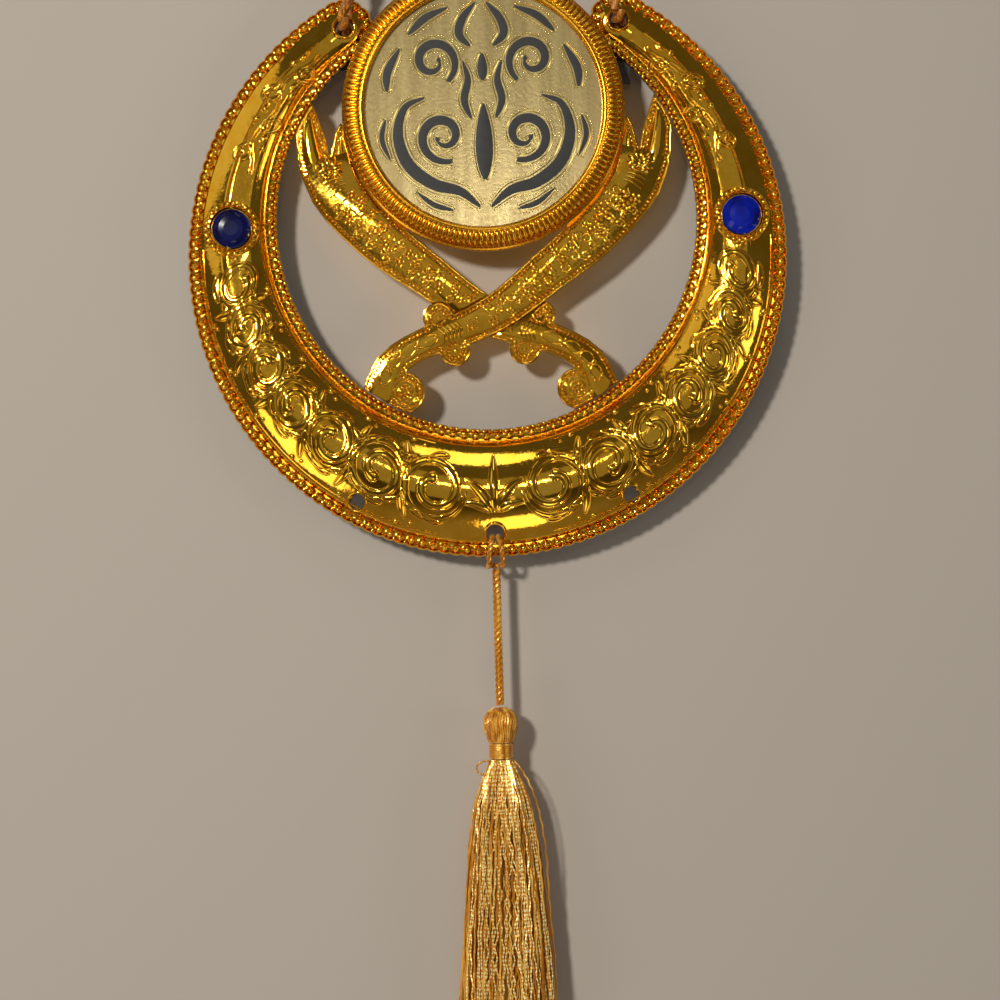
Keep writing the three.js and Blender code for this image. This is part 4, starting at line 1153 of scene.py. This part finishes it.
def arched_bars(count, first, bow, reach, thin, swell):
    """Bars of relief that lie across the sword one after another, each bowed along it."""
    bars = []
    for k in range(count):
        bar = []
        for i in range(9):
            rise = math.sin(math.pi * i / 8)
            p, _ = ribbon_point(first + BAR_PITCH * k + bow * rise, (i / 4 - 1) * reach)
            bar.append((p.x, p.y, thin + swell * rise))
        bars.append(bar)
    return bars


leaf_waves = [(t, math.sin(math.pi * (0.08 + 0.84 * t))) for t in LEAF_STEPS]
petal_waves = [(i / 11, math.sin(math.pi * (0.05 + 0.88 * i / 11))) for i in range(12)]
for side, node in ((-1, "sword_rear"), (1, "sword_front")):
    sword = cad_copy(node)
    outlines = plate_outlines(sword)
    bmesh.ops.dissolve_limit(
        sword, angle_limit=math.radians(1), verts=sword.verts, edges=sword.edges
    )
    corners = [e for e in sword.edges if len(e.link_faces) == 2]
    corners = [e for e in corners if e.calc_face_angle(0) > math.radians(40)]
    bmesh.ops.bevel(
        sword, geom=corners, offset=0.28, offset_type="OFFSET", segments=2, profile=0.5,
        affect="EDGES", clamp_overlap=True, material=-1,
    )
    for inset, depth, thick, resolution in (
        (SWORD_LIP, SWORD_PLATE, 0.85, 2), (SWORD_INNER_LINE, SWORD_PLATE - 0.05, 0.45, 1)
    ):
        runs = inset_runs(outlines, inset, side)
        lines = [[(p.x, depth, p.z, 1) for p in run] for run in runs]
        join(sword, tubes(lines, thick, resolution))
    pearls = []
    for run in inset_runs(outlines, SWORD_BEADS, side):
        for p in even_steps(run, PEARL_PITCH):
            if math.hypot(side * p.x - POMMEL[0], p.z - POMMEL[1]) >= POMMEL_RADIUS - 0.3:
                pearls.append((p.x, PEARL_DEPTH, p.z))
    rounds = [(*lobe, 2.1, 12) for lobe in GUARD_LOBES]
    rounds.append((*POMMEL, POMMEL_RADIUS - SWORD_BEADS, 24))
    for a, b, radius, count in rounds:
        pearls += [(side * x, y, z) for x, y, z in circle(a, b, radius, count, PEARL_DEPTH)]
    add_beads(sword, [p for p in pearls if shows(side, p[0], p[2])], PEARL_RADIUS)

    # The foliage stands on the blade between the guard's dots and the rosette by the points.
    draw = random.Random(5)
    relief, knobs = [], []
    for row in range(FOLIAGE_ROWS):
        along, odd = FOLIAGE_FROM + FOLIAGE_PITCH * row, row % 2
        reach = ribbon_point(along, 0)[1] - 2.1 - 1.7
        count = max(1, round(2 * reach / 2.7) + 1) - odd
        for i in range(count):
            spread = 2 * (i + 0.5 * odd) / max(1, count - 1 + odd) - 1
            nearby = along + draw.uniform(-0.005, 0.005)
            p, _ = ribbon_point(nearby, reach * spread + draw.uniform(-0.3, 0.3))
            if not shows(side, side * p.x, p.y):
                continue
            kind = draw.random()
            turn = draw.uniform(0, 6.28)
            if kind < 0.34:
                relief.append(curl(p.x, p.y, 1.6, turn, draw.choice((-1, 1))))
            elif kind < 0.74:
                x, z = p.x - 0.8 * math.cos(turn), p.y - 0.8 * math.sin(turn)
                for lean, length in ((-0.8, 2.0), (0, 2.7), (0.8, 2.0)):
                    relief.append(petal_of(x, z, turn + lean, length, 1.35, leaf_waves))
            else:
                knobs.append((p.x, p.y, 0.75))
                for k in range(5):
                    bend = turn + k * 1.2566
                    knobs.append((p.x + 1.3 * math.cos(bend), p.y + 1.3 * math.sin(bend), 0.62))
    # Rosette of pointed petals, with bars below it
    heart, _ = ribbon_point(0.958, 0)
    ahead = ribbon_point(0.97, 0)[0] - ribbon_point(0.95, 0)[0]
    for k in range(-4, 5):
        bend = math.atan2(ahead.y, ahead.x) + k * 0.55
        length = 5.4 - 0.45 * abs(k)
        relief.append(petal_of(heart.x, heart.y, bend, length, 2.1, petal_waves))
    knobs.append((heart.x, heart.y, 1.2))
    relief += arched_bars(4, 0.897, 0.005, 3.0, 0.55, 0.65)
    # Ribs across the guard, dots beyond them, and pointed ovals linked down the handle
    relief += arched_bars(5, 0.348, 0.011, 2.5, 0.5, 0.55)
    for i in range(9):
        p, _ = ribbon_point(0.428 + 0.0145 * (i // 3) + 0.004 * (i % 3), (i % 3 - 1) * 1.4)
        knobs.append((p.x, p.y, 0.55))
    relief = [[(side * x, z, w) for x, z, w in run] for run in relief]
    relief = [run for run in relief if all(shows(side, x, z) for x, z, _ in run)]
    join(sword, pressed(relief, 0.8, 2, SWORD_FIELD, 0.85))
    pads = [smooth_line([Vector((side * x, z, w)) for x, z, w in pad], 8) for pad in PADS]
    join(sword, pressed(pads, 1, 4, SWORD_PLATE, 0.52))
    ovals = []
    for k in range(4):
        oval = []
        for i in range(24):
            t = 2 * math.pi * i / 24
            width = 1.7 * math.sin(t) * abs(math.sin(t)) ** 0.25
            p, _ = ribbon_point(0.315 - OVAL_PITCH * k + 0.026 * math.cos(t), width)
            oval.append((side * p.x, SWORD_FIELD - 0.05, p.y, 1))
        ovals.append(oval)
        for across in (-1.1, 0, 1.1):
            knobs.append((*ribbon_point(0.286 - OVAL_PITCH * k, across)[0], 0.42))
    join(sword, tubes(ovals, 0.55, 1, cyclic=True))
    for x, z, radius in knobs:
        if shows(side, side * x, z):
            add_beads(sword, [(side * x, SWORD_FIELD - 0.1, z)], radius, 0.75, fine=False)
    # A blossom in two rings fills the pommel, and one bead each lobe.
    flower = [(side * x, y, z) for x, y, z in circle(*POMMEL, 1.35, 7, SWORD_PLATE - 0.25)]
    flower.append((side * POMMEL[0], SWORD_PLATE - 0.25, POMMEL[1]))
    add_beads(sword, flower, 0.62, fine=False)
    lobes = [(side * a, SWORD_PLATE - 0.1, b) for a, b in GUARD_LOBES]
    add_beads(sword, [p for p in lobes if shows(side, p[0], p[2])], 0.8, 0.8)
    rings = [circle(*POMMEL, radius, 28, SWORD_PLATE - 0.02) for radius in (2.35, 3.55)]
    rings = [[(side * x, y, z) for x, y, z in ring] for ring in rings]
    join(sword, tubes(even_runs(rings), 0.42, 1, cyclic=True))
    piece = make_piece(node + "_moulding", sword, [gold_plate], "pendant", sharp=65)
    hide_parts(node)


# Medallion bezel
# A gold-plated ring, pressed round its front into fine radial ribs like a coin's edge, with
# a plain lip inside and a thin foot ring outside.
BEZEL_PROFILE = [
    (36.2, -4.7, 0), (42.3, -4.7, 0), (42.3, -5.7, 0), (42.1, -6.1, 0), (41.7, -6.2, 0),
    (41.4, -6.6, 0), (41.25, -9.1, 0.5), (41.05, -9.7, 1), (40.5, -10.05, 1), (39.6, -10.35, 1),
    (38.6, -10.6, 1), (37.7, -10.7, 1), (37.3, -10.55, 0.6), (37.1, -10.15, 0),
    (36.85, -10.0, 0), (36.6, -10.2, 0), (36.25, -10.3, 0), (35.9, -10.1, 0), (35.55, -9.5, 0),
    (35.3, -8.9, 0), (35.35, -8.5, 0), (36.2, -8.3, 0),
]
RIBS = 150
RIB_GROOVE = [1, 0.55, 0, 0, 0, 0.55]
RIB_DEPTH = 0.7
RIB_SIDE_FROM = 40.8
BEZEL_STEPS = RIBS * len(RIB_GROOVE)

# Satin gold electroplate: the same plating over a finely blasted die, so it is duller and
# more amber than the crescent's. The blasting is drawn coarser than real.
satin_gold = new_material(
    "satin gold electroplate on ABS",
    [(1500, 2, 0.5)],
    [(0.35, "#e09c26"), (0.68, "#f0b638")],
    {"Metallic": 1},
    rough=(0, 0, 1, 0.2, 0.34),
)

profile = [(r, y, MEDALLION_RISE) for r, y, _ in BEZEL_PROFILE]
shape = spun(profile, (0, 0, MEDALLION_RISE), (0, 1, 0), BEZEL_STEPS, closed=True)
for vert in shape.verts:
    x, y, z = vert.co.x, vert.co.y, vert.co.z - MEDALLION_RISE
    radius = math.hypot(x, z)
    ribbed = min(BEZEL_PROFILE, key=lambda p: abs(p[0] - radius) + abs(p[1] - y))[2]
    turn = round(math.atan2(z, x) / (2 * math.pi) * BEZEL_STEPS)
    dip = ribbed * RIB_DEPTH * RIB_GROOVE[turn % len(RIB_GROOVE)]
    shrink = 1 - (dip * 0.8 / radius if radius > RIB_SIDE_FROM else 0)
    vert.co = (x * shrink, y + dip, MEDALLION_RISE + z * shrink)
bmesh.ops.recalc_face_normals(shape, faces=shape.faces)
bezel = make_piece("medallion_ribbed_bezel", shape, [satin_gold], "pendant", sharp=60)
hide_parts("medallion_bezel")


# Medallion face
# A thin plate faced with pale champagne foil. Dark enamelled scrollwork with a bright
# embossed line round it fills the round: a bud on two volutes, with leaves between.
FACE_DEPTH, FACE_THICK, FACE_RADIUS = -8.0, 0.8, 35.9
LINE_MARGIN, DOT_MARGIN, DOT_CLEAR = 0.45, 1.15, 0.9
INK_THICK_SHARE = 0.05

# Champagne foil print: brushed hot-stamped foil, so it glows softly, with a fine sparkle
# that is drawn coarser than real.
foil = new_material(
    "hot-stamped champagne foil",
    [((230, 1, 14), 2, 0.5), (900, 2, 0.5)],
    [(0.35, "#9f8a58"), (0.65, "#b8a36c")],
    {"Metallic": 0.6},
    rough=(1, 0, 1, 0.14, 0.27),
    bumps=[(1, 0.25, 0.0001)],
)

# Bright line: the same foil where the die presses hardest, polished smooth. Its paler flecks
# are painted glints.
bright_foil = new_material(
    "burnished foil line",
    [(1200, 1, 0.5)],
    [(0, "#e0bf5c"), (1, "#fff0a0")],
    {"Metallic": 0.9, "Roughness": 0.22},
)

# Grey enamel ink: a dense screen-printed ink with a satin face, faintly uneven.
ink = new_material(
    "grey enamel ink",
    [(400, 2, 0.5)],
    [(0, "#262624"), (1, "#343431")],
    {"Roughness": 0.5, "Specular IOR Level": 0.25},
)


def stroke(points, thick, blunt=0.12):
    """A stroke of ink along a smooth line: it swells to its full thickness in the middle."""
    line = even_steps(smooth_line([Vector((x, 0, z)) for x, z in points], 12), 0.5)
    run = []
    for i, p in enumerate(line):
        swell = math.sin(math.pi * (i / (len(line) - 1)) ** 0.85) ** 0.75
        run.append((p.x, p.z, thick * (blunt + (1 - blunt) * swell)))
    return run


def ink_volute(x, z, radius, first, turns, way, thick):
    """A volute of ink that winds in from a thin end to a round one."""
    run = []
    count = int(48 * turns)
    for i in range(count + 1):
        t = i / count
        angle = math.radians(first) + way * 2 * math.pi * turns * t
        reach = radius * (1 - 0.8 * t**0.9)
        swell = 0.14 + 0.86 * math.sin(math.pi * min(1, 0.06 + t) ** 0.8) ** 0.8
        width = thick * max(swell, 0.5 * ease((t - 0.85) / 0.1))
        run.append((x + reach * math.cos(angle), z + reach * math.sin(angle), width))
    return run


half = [
    stroke(
        [
            (1.6, -29.4), (7.5, -24.6), (15.4, -22.2), (22.6, -16.4), (25.6, -7.6), (23.4, 0.6),
            (17.4, 3.6),
        ],
        4.3,
    ),
    ink_volute(12.2, -8.2, 7.8, 250, 1.3, 1, 3.2),
    ink_volute(14.6, 14.2, 7.4, 236, 1.25, -1, 3.0),
    stroke([(3.6, -3.2), (5.6, 2.4), (4.4, 8.6), (5.8, 14.2)], 2.6),
    stroke([(28.6, 5.4), (28.2, 11.4), (24.4, 18.4)], 2.8),
    stroke([(21.8, 22.4), (16.6, 27.2), (9.8, 30.2)], 2.6),
    stroke([(3.4, 18.4), (6.6, 22.0), (5.6, 26.6), (1.6, 31.6)], 2.9),
    stroke([(9.6, -30.2), (15.4, -28.4), (20.6, -24.4)], 1.9),
    stroke([(29.2, -2.6), (30.4, -8.6), (28.0, -15.0)], 1.8),
]
strokes = []
for run in half:
    strokes += [run, [(-x, z, w) for x, z, w in run]]
strokes.append(stroke([(0, -21.5), (0, -14), (0, -6), (0, 1.5)], 5.2, 0.05))
strokes.append(stroke([(0, 8.0), (0, 12), (0, 16.5)], 3.0, 0.05))
strokes = [[(x, FACE_DEPTH, z + MEDALLION_RISE, w) for x, z, w in run] for run in strokes]

shape = bmesh.new()
face_back = FACE_DEPTH + FACE_THICK
add_disc(shape, 0, MEDALLION_RISE, face_back, FACE_DEPTH, FACE_RADIUS, segments=120)
lines = [outline_of(run, 0.5, LINE_MARGIN) for run in strokes]
bright = tubes(lines, 0.42, 1, cyclic=True)
inked = [(Vector(q[:3]), q[3] / 2 + DOT_CLEAR) for run in strokes for q in run[::3]]
dotted = []
for run in strokes:
    ring = [Vector(p[:3]) for p in outline_of(run, 0.5, DOT_MARGIN)]
    for p in even_steps(ring + ring[:1], 0.9):
        on_foil = math.hypot(p.x, p.z - MEDALLION_RISE) < FACE_RADIUS - 1.3
        if on_foil and all((p - q).length > clear for q, clear in inked):
            dotted.append(p)
add_beads(bright, dotted, 0.24, 0.8, fine=False)
printed = tubes(strokes, 1, 1)
for vert in printed.verts:
    vert.co.y = FACE_DEPTH + (vert.co.y - FACE_DEPTH) * INK_THICK_SHARE
for index, print_shape in ((1, bright), (2, printed)):
    for face in print_shape.faces:
        face.material_index = index
    join(shape, print_shape)
face_materials = [foil, bright_foil, ink]
medallion_face = make_piece("medallion_foil_face", shape, face_materials, "pendant", sharp=50)
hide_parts("medallion_disc")
